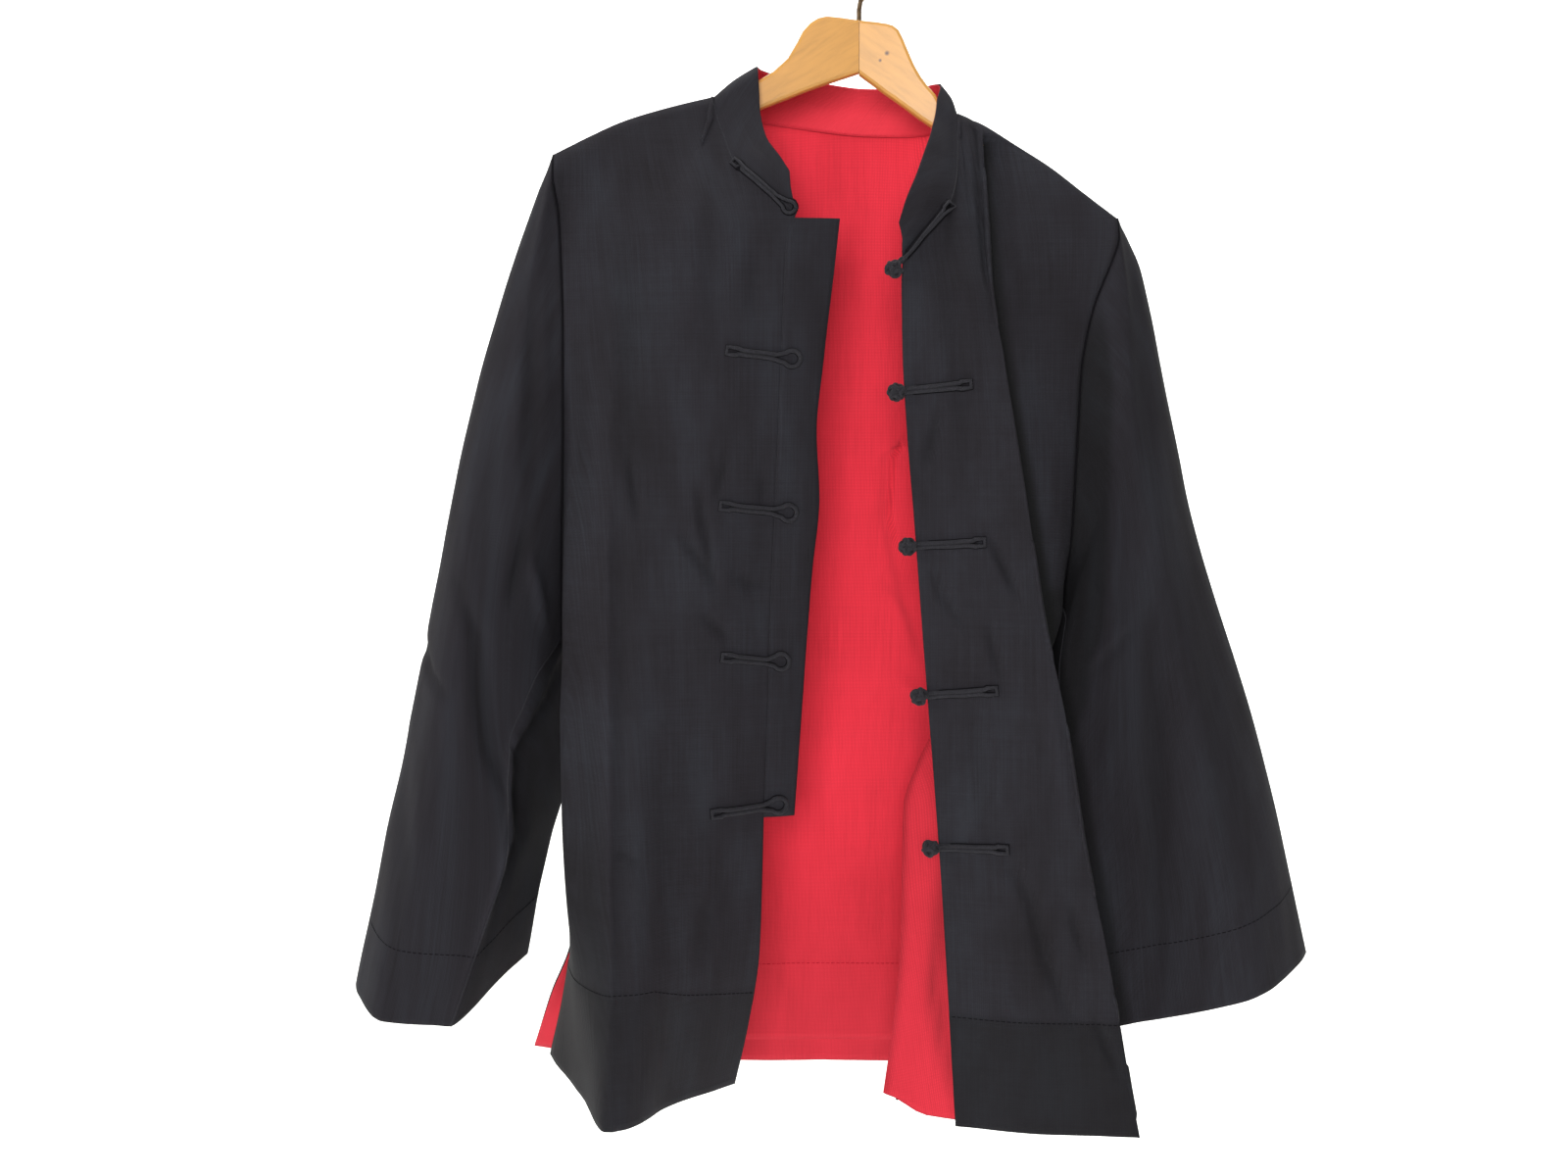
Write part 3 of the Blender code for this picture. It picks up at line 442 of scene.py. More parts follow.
# Where the hems end on (height) and how far the turned band stands out.
BODY_HEM_TOP = -0.790
RIGHT_HEM_RISE = [(0, 0.0), (4, 0.010), (6.5, 0.020), (9, 0.021), (11, 0.008)]
BACK_HEM_TOP = -0.797
BAND_STEP = 0.0005
CUFF_BAND = 0.055
PLUMB_LEAN = 0.7
STITCH_LENGTH = 0.0026
STITCH_PITCH = 0.0040
STITCH_RADIUS = 0.00032
STITCH_SINK = STITCH_RADIUS * 0.3

# Which way each sheet's outer side faces, near its first column
OUTWARD = {
    "front_right": (0, -1, 0),
    "front_left": (0, -1, 0),
    "underlap": (0, -1, 0),
    "back": (0, 1, 0),
    "back_lining": (0, 1, 0),
    "front_left_lining": (0, 1, 0),
    "sleeve_right": (-1, 0, 0),
    "sleeve_left": (1, 0, 0),
    "collar": (-1, 0, 0),
    "collar_lining": (-1, 0, 0),
}

# The flat cut of each sheet, measured along its finished surface: width, length and area.
Cut = namedtuple("Cut", "width length area")


def linear(text):
    """An sRGB hex colour as linear red, green and blue."""
    parts = [int(text[place: place + 2], 16) / 255 for place in (1, 3, 5)]
    return tuple(part / 12.92 if part <= 0.04045 else ((part + 0.055) / 1.055) ** 2.4 for part in parts)


def colour_field(name, about, default):
    """A colour in the panel."""
    return FloatVectorProperty(name=name, description=about, subtype="COLOR", size=3, min=0, max=1,
                               default=linear(default))


def length_field(name, about, default, low, high):
    """A length in the panel."""
    return FloatProperty(name=name, description=about, unit="LENGTH", subtype="DISTANCE", default=default,
                         min=low, max=high)


def power_field(name, about, default):
    """A light's power in the panel."""
    return FloatProperty(name=name, description=about, unit="POWER", default=default, min=0, max=500)


class JacketClothSettings(bpy.types.PropertyGroup):
    """Colours and weave of the two faces of the cloth."""

    outside: colour_field("Outside", "Colour of the dark face", "#1D1B21")
    inside: colour_field("Inside", "Colour of the red face", "#ED3345")
    thread: length_field("Thread spacing", "Distance from one thread to the next", 0.0011, 0.0002, 0.01)
    crease: FloatProperty(name="Crease depth", description="Depth of the creases, as a share of the table's",
                          subtype="FACTOR", default=1.35, min=0.0, max=2.0)
    ripple: length_field("Unevenness", "How far the hanging cloth wanders from flat", 0.0020, 0.0, 0.01)


class JacketClosureSettings(bpy.types.PropertyGroup):
    """Sizes of the loops and knots."""

    cord: length_field("Cord", "Diameter of the rolled cloth cord", 0.0031, 0.001, 0.01)
    knot: length_field("Knot", "Radius of a knot's core", 0.0050, 0.001, 0.02)
    colour: colour_field("Cord colour", "Colour of the rolled cloth", "#1E1D22")


class JacketHangerSettings(bpy.types.PropertyGroup):
    """Colours of the hanger."""

    wood: colour_field("Wood", "Colour of the beech", "#B8843C")
    wire: colour_field("Wire", "Colour of the hook's steel", "#745F48")


class JacketStageSettings(bpy.types.PropertyGroup):
    """Floor and light."""

    floor: colour_field("Floor", "Colour of the floor", "#F6F6F4")
    floor_height: length_field("Floor height", "Height of the floor under the jacket", -1.45, -3.0, -0.95)
    front_power: power_field("Front light", "Power of the large light in front", 66.0)
    side_power: power_field("Side light", "Power of the light from the left", 20.0)


def smooth(points, stations, samples):
    """Reads a curve through the points at the samples, without swinging past them."""
    points = np.asarray(points, float)
    stations = np.asarray(stations, float)
    samples = np.asarray(samples, float)
    spread = (slice(None),) + (None,) * (points.ndim - 1)
    step = np.diff(stations)[spread]
    secant = np.diff(points, axis=0) / step
    before, after = secant[:-1], secant[1:]
    same_way = before * after > 0
    total = np.where(same_way, before + after, 1.0)
    inner = np.where(same_way, 2.0 * before * after / total, 0.0)
    slope = np.concatenate([secant[:1], inner, secant[-1:]])
    cell = np.clip(np.searchsorted(stations, samples, side="right") - 1, 0, len(stations) - 2)
    width = step[cell]
    t = ((samples - stations[cell]) / (stations[cell + 1] - stations[cell]))[spread]
    start = (1 + 2 * t) * (1 - t) ** 2 * points[cell] + t * (1 - t) ** 2 * width * slope[cell]
    end = t * t * (3 - 2 * t) * points[cell + 1] + t * t * (t - 1) * width * slope[cell + 1]
    return start + end


def refined(grid, row_steps):
    """Adds rows between the sections of a grid."""
    stations = np.concatenate([[0], np.cumsum(np.linalg.norm(np.diff(grid, axis=0), axis=2).mean(axis=1))])
    samples = [stations[0]]
    for index, steps in enumerate(row_steps):
        for part in range(1, steps + 1):
            samples.append(stations[index] + (stations[index + 1] - stations[index]) * part / steps)
    return smooth(grid, stations, samples)


def finer(grid, row_factor=FINER_ROWS, column_factor=FINER_COLUMNS):
    """The same surface with more rows and columns."""
    rows, columns = grid.shape[:2]
    fine = smooth(grid, np.arange(rows), np.linspace(0, rows - 1, (rows - 1) * row_factor + 1))
    across = fine.swapaxes(0, 1)
    fine = smooth(across, np.arange(columns), np.linspace(0, columns - 1, (columns - 1) * column_factor + 1))
    return fine.swapaxes(0, 1)


def panel_grid(top_line, on_shoulder, sections, lines, forward):
    """Rows from the neck and shoulder line down through each section, columns from one side to the other."""
    top = np.array(top_line)
    columns = np.arange(len(top))
    rows = []
    for section in sections:
        plan = smooth(section.plan, lines, columns)
        height = section.z + section.rise * plan[:, 0]
        rows.append(np.column_stack([plan, height]))
    turned = [top]
    for (away, down), share in zip(SHOULDER_TURN, NECK_TURN):
        over = top + np.array([0, forward * away, -down])
        below = top + (rows[0] - top) * share
        turned.append(np.where(on_shoulder[:, None], over, below))
    return refined(np.array(turned + rows), ROW_STEPS)


def grid_normals(grid, closed=False):
    """Unit normals of a grid of points, along columns crossed with rows."""
    if closed:
        looped = np.concatenate([grid[:, -2:-1], grid, grid[:, 1:2]], axis=1)
        along = np.gradient(looped, axis=1)[:, 1:-1]
    else:
        along = np.gradient(grid, axis=1)
    down = np.gradient(grid, axis=0)
    normals = np.cross(along, down)
    return normals / np.maximum(np.linalg.norm(normals, axis=2, keepdims=True), 1e-9)


def outward_normals(grid, outward, closed=False):
    """The grid's normals, turned so that the first column's middle one points outwards."""
    normals = grid_normals(grid, closed)
    return -normals if np.dot(normals[len(grid) // 2, 0], outward) < 0 else normals


def moved_in(grid, outward, distance):
    """The same surface, moved inwards from its outer side."""
    return grid - outward_normals(grid, outward) * distance


def drawn_in(edge, neighbour, distance):
    """An edge's points, moved towards the next row or column."""
    along = neighbour - edge
    return edge + along / np.linalg.norm(along, axis=1, keepdims=True) * distance


def neck_seam():
    """The whole neck seam, from the wearer's right front edge round the back to the left front edge."""
    right = NECK_RIGHT + [SHOULDER_RIGHT[0]]
    left = [SHOULDER_LEFT[0]] + NECK_LEFT[::-1]
    return np.array(right + NECK_BACK + left)


def body_grids():
    """The outer surfaces of the three body panels, parted along their seams."""
    right_top = NECK_RIGHT + SHOULDER_RIGHT
    on_shoulder = np.arange(len(right_top)) >= len(NECK_RIGHT)
    front_right = panel_grid(right_top, on_shoulder, FRONT_RIGHT, FRONT_RIGHT_LINES, -1)
    left_top = NECK_LEFT + SHOULDER_LEFT
    on_shoulder = np.arange(len(left_top)) >= len(NECK_LEFT)
    front_left = panel_grid(left_top, on_shoulder, FRONT_LEFT, FRONT_LEFT_LINES, -1)
    back_top = SHOULDER_RIGHT[::-1][:-1] + [SHOULDER_RIGHT[0]] + NECK_BACK[1:-1] + SHOULDER_LEFT
    count = len(back_top)
    on_shoulder = (np.arange(count) < len(SHOULDER_RIGHT)) | (np.arange(count) >= count - len(SHOULDER_LEFT))
    back = panel_grid(back_top, on_shoulder, BACK, BACK_LINES, 1)

    for row, share in ((2, 0.4), (3, 1.0)):
        tucked_in = front_left[row, 8] + UPPER_TUCK
        front_left[row, 9] += (tucked_in - front_left[row, 9]) * share
        front_left[row, 8, 1] -= UPPER_FOLD_OUT * share
    front_left[ARMPIT_ROW + 1, 9:, 0] += PIT_EASE * np.array([0.4, 1.0, 1.0, 1.0])
    back[ARMPIT_ROW + 1, -2, 0] += PIT_EASE * 0.8
    back[VENT_ROW + 1, :2, 0] -= VENT_FLARE * np.array([1.0, 0.5])
    seam = slice(ARMPIT_ROW, VENT_ROW + 1)
    back[seam, 0] = front_right[seam, -1]
    back[seam, -1] = front_left[seam, -1]
    back[:, 0] = drawn_in(back[:, 0], back[:, 1], SIDE_SEAM_BACK)
    back[:, -1] = drawn_in(back[:, -1], back[:, -2], SIDE_SEAM_BACK)
    for front in (front_right, front_left):
        front[:, -1] = drawn_in(front[:, -1], front[:, -2], SIDE_SEAM_FRONT)
    for panel in (front_right, front_left, back):
        panel[0] = drawn_in(panel[0], panel[1], SHOULDER_SEAM)
    front_right[:, :, 1] -= SEAM_GAP / 2
    front_left[:, :, 1] -= SEAM_GAP / 2
    back[:, :, 1] += SEAM_GAP / 2
    return front_right, front_left, back


def sleeve_grid(front, front_column, back, back_column, rings, side):
    """Rings from the armhole to the cuff. The first follows the body panels' own armhole lines."""
    armhole_front = front[: ARMPIT_ROW + 1, front_column]
    armhole_back = back[: ARMPIT_ROW + 1, back_column][::-1]
    top = (armhole_front[0] + armhole_back[-1]) / 2
    pit = (armhole_front[-1] + armhole_back[0]) / 2
    first = np.concatenate([[top], armhole_front[1:-1], [pit], armhole_back[1:-1], [top]])
    rows = [first + np.array([side * ARMHOLE_SEAM, 0, 0])]
    samples = np.linspace(0, 1, ARMPIT_ROW + 1)
    for ring in rings:
        outer, front_mid, seam, inner, back_mid = (np.array(point) for point in ring)
        front_lip = outer + (front_mid - outer) * OUTER_FOLD_SHARE - np.array([0, OUTER_FOLD_DEPTH, 0])
        back_lip = outer + (back_mid - outer) * OUTER_FOLD_SHARE + np.array([0, OUTER_FOLD_DEPTH, 0])
        half = smooth([outer, front_lip, front_mid, seam], (0, 0.1, 0.5, 1), samples)
        rest = smooth([seam, inner, back_mid, back_lip, outer], (0, 0.2, 0.6, 0.9, 1), samples)
        rows.append(np.concatenate([half, rest[1:]]))
    return refined(np.array(rows), (2,) * len(rings))


def collar_grid():
    """The collar's outer surface, from the neck seam up to its free edge."""
    seam = neck_seam()
    top = np.array(COLLAR_TOP)
    rise = (top - seam) / np.linalg.norm(top - seam, axis=1, keepdims=True)
    bottom = seam + rise * COLLAR_SEAM
    middle = (bottom + top) / 2
    out = middle - np.array([middle[:, 0].mean(), 0.0, 0.0])
    out[:, 2] = COLLAR_BULGE
    middle = middle + out / np.linalg.norm(out, axis=1, keepdims=True) * COLLAR_BULGE
    return refined(np.array([bottom, middle, top]), (2, 2))


def underlap_grid(front_right):
    """The strip sewn to the wearer's right front edge, from the neck to the waist."""
    outer = np.array(UNDERLAP_OUTER)
    edge = front_right[:, 0]
    heights = -edge[:, 2]
    wanted = -outer[:, 2]
    wanted[0] = max(wanted[0], heights[0])
    seam = np.column_stack([np.interp(wanted, heights, edge[:, axis]) for axis in range(3)])
    seam[:, 0] += SEAM_GAP
    middle = (seam + outer) / 2 - np.array([0, 0.001, 0])
    return np.stack([seam, middle, outer], axis=1)


def nearness(grid, crease):
    """1 on a crease's line, falling to 0 beside it and towards its two ends."""
    points = grid[..., [0, 2]]
    line = np.array(crease.line, float)
    lengths = np.linalg.norm(np.diff(line, axis=0), axis=1)
    whole = lengths.sum()
    done = 0.0
    most = np.zeros(grid.shape[:2])
    for start, end, length in zip(line, line[1:], lengths):
        along = np.clip((points - start) @ (end - start) / length ** 2, 0, 1)
        gap = np.linalg.norm(points - start - along[..., None] * (end - start), axis=2)
        place = (done + along * length) / whole
        fade = np.sin(math.pi * (0.04 + 0.92 * place)) ** 0.6
        most = np.maximum(most, fade * np.exp(-((gap / crease.width) ** crease.power)))
        done += length
    return most


def eased(values, low, high):
    """0 at low, 1 at high, with a soft start and end."""
    share = np.clip((values - low) / (high - low), 0, 1)
    return share * share * (3 - 2 * share)


def within(values, low, full, fading, high):
    """1 from full to fading, 0 outside low and high."""
    return eased(values, low, full) * (1 - eased(values, fading, high))


def column_numbers(grid):
    """Where each column of a refined grid lies among the unrefined ones."""
    return np.arange(grid.shape[1]) / FINER_COLUMNS


def banded(grid, top):
    """The surface with its turned hem standing out below a height, and where the hem is."""
    band = eased(top - grid[..., 2], -0.002, 0.002)
    return grid + outward_normals(grid, OUTWARD["front_right"]) * (band * BAND_STEP)[..., None], band


def wander(grid, seed):
    """Slow unevenness of hanging cloth: longer down the cloth than across it, between about -1 and 1."""
    values = np.zeros(grid.shape[:2])
    shift = Vector((seed * 3.7, seed * 1.3, seed * 2.1))
    for row, column in np.ndindex(values.shape):
        x, y, z = grid[row, column]
        slow = noise.noise(Vector((x / 0.070, y / 0.070, z / 0.150)) + shift)
        quick = noise.noise(Vector((x / 0.022, y / 0.022, z / 0.055)) + shift)
        values[row, column] = slow + 0.28 * quick
    return values


def worn_and_crease_shaded(grid, outward, creases, seed, held, closed=False, where=None):
    """The surface with its creases and unevenness, and its tone at each point.

    held is 0 where a seam keeps the cloth in place. Besides the random wear, the tone holds painted light: a
    painted highlight on ridges and painted shade in the bottoms of creases.
    """
    cloth = bpy.context.scene.jacket_cloth
    normals = outward_normals(grid, outward, closed)
    slow = wander(grid, seed)
    push = slow * cloth.ripple
    tone = 1 + slow * WEAR_TONE
    for crease in creases:
        near = nearness(grid, crease) if where is None else nearness(grid, crease) * where
        push = push + near * crease.depth * cloth.crease
        # Painted shade in the bottoms of creases and painted highlight on ridges
        tone = tone + near * CREASE_SHADE_TONE * crease.depth / CREASE_TONE_DEPTH
    return grid + normals * (push * held)[..., None], np.clip(tone, 0.5, 1.3)


def held_at(grid, sides, reach=0.020):
    """0 along the named sides of a grid (top, bottom, first, last) and 1 further than reach from them."""
    free = np.ones(grid.shape[:2])
    across, down = lengths_along(grid, 1), lengths_along(grid, 0)
    away = {"top": down, "bottom": down[-1:] - down, "first": across, "last": across[:, -1:] - across}
    for side in sides:
        free = free * eased(away[side], 0.0, reach)
    return free


def right_hem_top(grid):
    """The height of the hem stitches at each column of the right front, which is turned up higher midway."""
    return BODY_HEM_TOP + np.interp(column_numbers(grid), *zip(*RIGHT_HEM_RISE))


@lru_cache(maxsize=1)
def surfaces():
    """The finished outer surface of every sheet of cloth, as fine grids by name."""
    coarse_right, coarse_left, coarse_back = body_grids()
    forward, rearward = (0, -1, 0), (0, 1, 0)
    found, tones = {}, {}

    right = finer(coarse_right)
    right, band = banded(right, right_hem_top(right))
    found["front_right"], tone = worn_and_crease_shaded(right, forward, CREASES_RIGHT, 1, held_at(right, ("top", "last")))
    # Painted shade low on the side of the right front, where it turns away from the light
    side_shade = eased(column_numbers(right), *TURNED_SIDE_COLUMNS)
    side_shade = side_shade * eased(-right[..., 2], *TURNED_SIDE_DROPS)
    tones["front_right"] = tone * (1 - band * BAND_TONES["front_right"]) * (1 - side_shade * TURNED_SIDE_SHADE_TONE)

    left, band = banded(finer(coarse_left), BODY_HEM_TOP)
    columns, drop = column_numbers(left), -left[..., 2]
    corner = within(columns, *WRAP_CORNER_COLUMNS)
    left[..., 2] -= WRAP_DROP * eased(drop, *WRAP_CORNER_DROPS) * corner
    drop = -left[..., 2]
    on_front = 1 - eased(columns, *ON_FRONT_COLUMNS)
    free = held_at(left, ("top", "last"))
    found["front_left"], tone = worn_and_crease_shaded(left, forward, CREASES_LEFT, 2, free, where=on_front)
    # Painted shade in the recess right of the long fold
    behind_fold = eased(columns, *BEHIND_FOLD_COLUMNS)
    past_fold = left[..., 0] - left[:, 8 * FINER_COLUMNS, None, 0]
    reach = np.interp(drop, *zip(*RECESS_REACH))
    recess_shade = (1 - eased(past_fold - reach, 0.0, RECESS_FADE)) * behind_fold
    # Painted shade beside the armhole seam, and below the armpit behind the long fold
    armhole_shade = (1 - held_at(left, ("last",), ARMHOLE_REACH)) * within(drop, *SEAM_SIDE_DROPS)
    armhole_shade = np.maximum(armhole_shade, within(drop, *BELOW_PIT_DROPS) * behind_fold)
    tones["front_left"] = (tone * (1 - band * BAND_TONES["front_left"]) * (1 - recess_shade * RECESS_SHADE_TONE)
                           * (1 - armhole_shade * ARMHOLE_SHADE_TONE))

    back = finer(coarse_back)
    free = held_at(back, ("top", "first", "last"))
    found["back"], tones["back"] = worn_and_crease_shaded(back, rearward, CREASES_BACK, 3, free)

    collar = finer(collar_grid(), 6, 6)
    free = held_at(collar, ("top",), 0.006)
    found["collar"], tones["collar"] = worn_and_crease_shaded(collar, (-1, 0, 0), CREASES_COLLAR, 4, free * 0.5)
    strip = sewn_edge(finer(underlap_grid(found["front_right"]), 16, 5), found["front_right"][:, 0])
    free = held_at(strip, ("first",), 0.016)
    found["underlap"], tones["underlap"] = worn_and_crease_shaded(strip, forward, [], 1, free * 0.8)

    for name, front, column, rings, side, lines, seed in (
            ("sleeve_right", coarse_right, 0, SLEEVE_RIGHT, -1, CREASES_SLEEVE_RIGHT, 5),
            ("sleeve_left", coarse_left, -1, SLEEVE_LEFT, 1, CREASES_SLEEVE_LEFT, 6)):
        sleeve = finer(sleeve_grid(front, -1, coarse_back, column, rings, side))
        free = held_at(sleeve, ("top",), 0.030)
        found[name], tones[name] = worn_and_crease_shaded(sleeve, (side, 0, 0), lines, seed, free, closed=True)
    # Painted shade on the right sleeve between its underarm seam and its inner edge
    tones["sleeve_right"] *= 1 - UNDERARM_SHADE_TONE * within(column_numbers(sleeve), *UNDERARM_COLUMNS)
    # Painted shadow of the body and the long fold on the left sleeve
    tones["sleeve_left"] *= shadow_beside_body(found["sleeve_left"])

    lining = moved_in(found["back"], rearward, LINING_INSET)
    lining = lining[3:-3, 2 * FINER_COLUMNS: 11 * FINER_COLUMNS + 1]
    found["back_lining"], tones["back_lining"] = tucked(lining)
    for name in ("back", "back_lining"):
        tones[name] = tones[name] * (1 - RED_FOOT_TONE * eased(-found[name][..., 2], *RED_FOOT_DROPS))
    wrapped = moved_in(found["front_left"], forward, LINING_INSET)
    wrapped[-1] = drawn_in(wrapped[-1], wrapped[-2], SHOULDER_SEAM)
    wrapped[:, -1] = drawn_in(wrapped[:, -1], wrapped[:, -2], -WRAP_OVER)
    wrapped = wrapped[ARMPIT_ROW * FINER_ROWS:, WRAP_LINE * FINER_COLUMNS:]
    found["front_left_lining"] = wrapped
    # The wrapped red is painted darker as its shade, with a painted shadow of the front beside its edge
    tones["front_left_lining"] = WRAP_SHADE_TONE * (1 - WRAP_SHADOW_LINE[0].depth * nearness(wrapped, WRAP_SHADOW_LINE[0]))
    inside = moved_in(found["collar"], (-1, 0, 0), LINING_INSET)
    inside[0] = drawn_in(inside[0], inside[1], COLLAR_LINING_SEAM)
    reach = LINING_FOOT_LEAST + LINING_FOOT * within(np.arange(inside.shape[1]), *LINING_FOOT_COLUMNS)
    inside = np.concatenate([[drawn_in(inside[0], inside[1], -reach[:, None])], inside])
    found["collar_lining"] = inside[:, FINER_COLUMNS: -FINER_COLUMNS]
    # The red inside the collar is painted darker, as its shade
    tones["collar_lining"] = COLLAR_LINING_SHADE_TONE
    return found, tones


def shadow_beside_body(sleeve):
    """Painted shadow on the front of the left sleeve beside the body, darkest behind the long fold, with
    painted shade by the armhole seam.
    """
    x, drop = sleeve[..., 0], -sleeve[..., 2]
    front = eased(-sleeve[..., 1], *SLEEVE_FRONT)
    shaded = 1 - eased(x - np.interp(drop, *zip(*SHADED_TO)), *SHADED_EDGE)
    shaded = shaded * within(drop, *SHADED_DROPS)
    fold_shadow = (1 - eased(x - np.interp(drop, *zip(*BEHIND_FOLD)), *CLOSE_EDGE)) * eased(drop, *CLOSE_DROPS)
    # Painted shade beside the armhole seam
    seam = (1 - held_at(sleeve, ("top",), ARMHOLE_REACH)) * eased(drop, *SEAM_SIDE_DROPS[:2])
    darker = (1 - SHADED_TONE * shaded * front) * (1 - FOLD_SHADOW_TONE * fold_shadow * front)
    return darker * (1 - ARMHOLE_SHADE_TONE * seam * front)


def sewn_edge(strip, edge):
    """The strip with its first column laid along an edge of the panel that it is sewn to."""
    heights = -strip[:, 0, 2]
    seam = np.column_stack([np.interp(heights, -edge[:, 2], edge[:, axis]) for axis in range(3)])
    seam[:, 0] += SEAM_GAP / 2
    share = 1 - eased(np.linspace(0, 1, strip.shape[1]), 0, 1)
    return strip + (seam - strip[:, 0])[:, None] * share[None, :, None]


def crowded(values, low, high, factor):
    """Places along a row or column, with more of them where its values lie between low and high."""
    inside = np.flatnonzero((values > low) & (values < high))
    first, last = inside[0], inside[-1]
    extra = np.linspace(first, last, (last - first) * factor + 1)
    return np.unique(np.round(np.concatenate([np.arange(len(values)), extra]), 6))


def tucked(lining):
    """The back lining with its tuck: right of the line it steps forward, then falls back over 60 mm."""
    rows = crowded(lining[:, lining.shape[1] // 2, 2], TUCK_TOP - 0.008, TUCK_TOP + 0.010, 6)
    lining = smooth(lining, np.arange(len(lining)), rows)
    across = lining.swapaxes(0, 1)
    columns = crowded(across[:, len(lining) // 2, 0], 0.016, 0.064, 5)
    lining = smooth(across, np.arange(len(across)), columns).swapaxes(0, 1)
    line = np.array(TUCK_LINE)
    x, z = lining[..., 0], lining[..., 2]
    edge = np.interp(-z, -line[:, 1], line[:, 0])
    past = x - edge
    rise = eased(past, 0.0, TUCK_STEP) * (1 - eased(past, *TUCK_BACK))
    top = TUCK_TOP + (x - line[0, 0]) * TUCK_TILT
    low = eased(z - top, 0.0, 0.002)
    inside = (1 - low) * (1 - eased(-z, *TUCK_FADES))
    forward = np.zeros(lining.shape)
    forward[..., 1] = -rise * inside * TUCK_HEIGHT
    # The tone holds a painted highlight on the raised part, painted shadow just left of the step and under
    # the top edge, and painted shade in faint folds
    beside = np.exp(-((past + 0.0020) / 0.0040) ** 2) * inside
    above = np.exp(-((z - top - 0.0014) / 0.0012) ** 2) * eased(past, -0.002, 0.001)
    above = above * (1 - eased(past, 0.010, 0.022))
    folds = sum(nearness(lining, crease) * crease.depth for crease in LINING_FOLD_SHADES)
    return lining + forward, 1 + 0.10 * rise * inside - 0.10 * beside - 0.30 * above - folds


def plug(node, inputs):
    """Sets a node's inputs by name or number: a socket is linked, anything else is the input's value."""
    for name, value in inputs.items():
        if isinstance(value, bpy.types.NodeSocket):
            node.id_data.links.new(value, node.inputs[name])
        else:
            node.inputs[name].default_value = value


def add_node(nodes, kind, inputs=None, **settings):
    """Adds one node, with its inputs and its settings."""
    node = nodes.new("ShaderNode" + kind)
    for name, value in settings.items():
        setattr(node, name, value)
    plug(node, inputs or {})
    return node


def new_material(name, roughness, metallic=0.0):
    """An empty Principled material: its node tree's nodes and its shader."""
    material = bpy.data.materials.new(name)
    material.use_nodes = True
    nodes = material.node_tree.nodes
    shader = nodes["Principled BSDF"]
    plug(shader, {"Roughness": roughness, "Metallic": metallic})
    return material, nodes, shader


def object_place(nodes):
    """The place in the object's own metres."""
    return add_node(nodes, "TexCoord").outputs["Object"]


def mapped(nodes, place, **change):
    """The place scaled or turned."""
    return add_node(nodes, "Mapping", {"Vector": place, **change}).outputs["Vector"]


def noise_at(nodes, place, scale, detail, roughness=0.5, dimensions="3D", distortion=0.0):
    """Soft noise, from 0 to 1 around 0.5."""
    inputs = {"Vector": place, "Scale": scale, "Detail": detail, "Roughness": roughness,
              "Distortion": distortion}
    return add_node(nodes, "TexNoise", inputs, noise_dimensions=dimensions).outputs["Fac"]


def ramp(nodes, factor, *stops):
    """A colour ramp. Each stop is a place and a grey or a colour."""
    node = add_node(nodes, "ValToRGB", {"Fac": factor})
    elements = node.color_ramp.elements
    while len(elements) < len(stops):
        elements.new(0.5)
    for element, (place, value) in zip(elements, stops):
        element.position = place
        colour = value if isinstance(value, tuple) else (value,) * 3
        element.color = (*colour, 1.0)
    return node.outputs["Color"]


def combined(nodes, operation, *values):
    """Numbers put together by a math node."""
    return add_node(nodes, "Math", dict(enumerate(values)), operation=operation).outputs[0]


def mixed(nodes, share, first, second):
    """A number between two numbers."""
    return add_node(nodes, "Mix", {0: share, 2: first, 3: second}, data_type="FLOAT").outputs[0]


def mixed_colour(nodes, share, first, second, blend="MIX"):
    """A colour mixed from two colours."""
    inputs = {0: share, 6: first, 7: second}
    return add_node(nodes, "Mix", inputs, data_type="RGBA", blend_type=blend).outputs[2]


def bumps(nodes, height, strength, distance):
    """Normals bent by a height."""
    inputs = {"Height": height, "Strength": strength, "Distance": distance}
    return add_node(nodes, "Bump", inputs).outputs["Normal"]


def shade(colour, factor):
    """The colour made lighter or darker."""
    return tuple(min(1.0, part * factor) for part in colour)


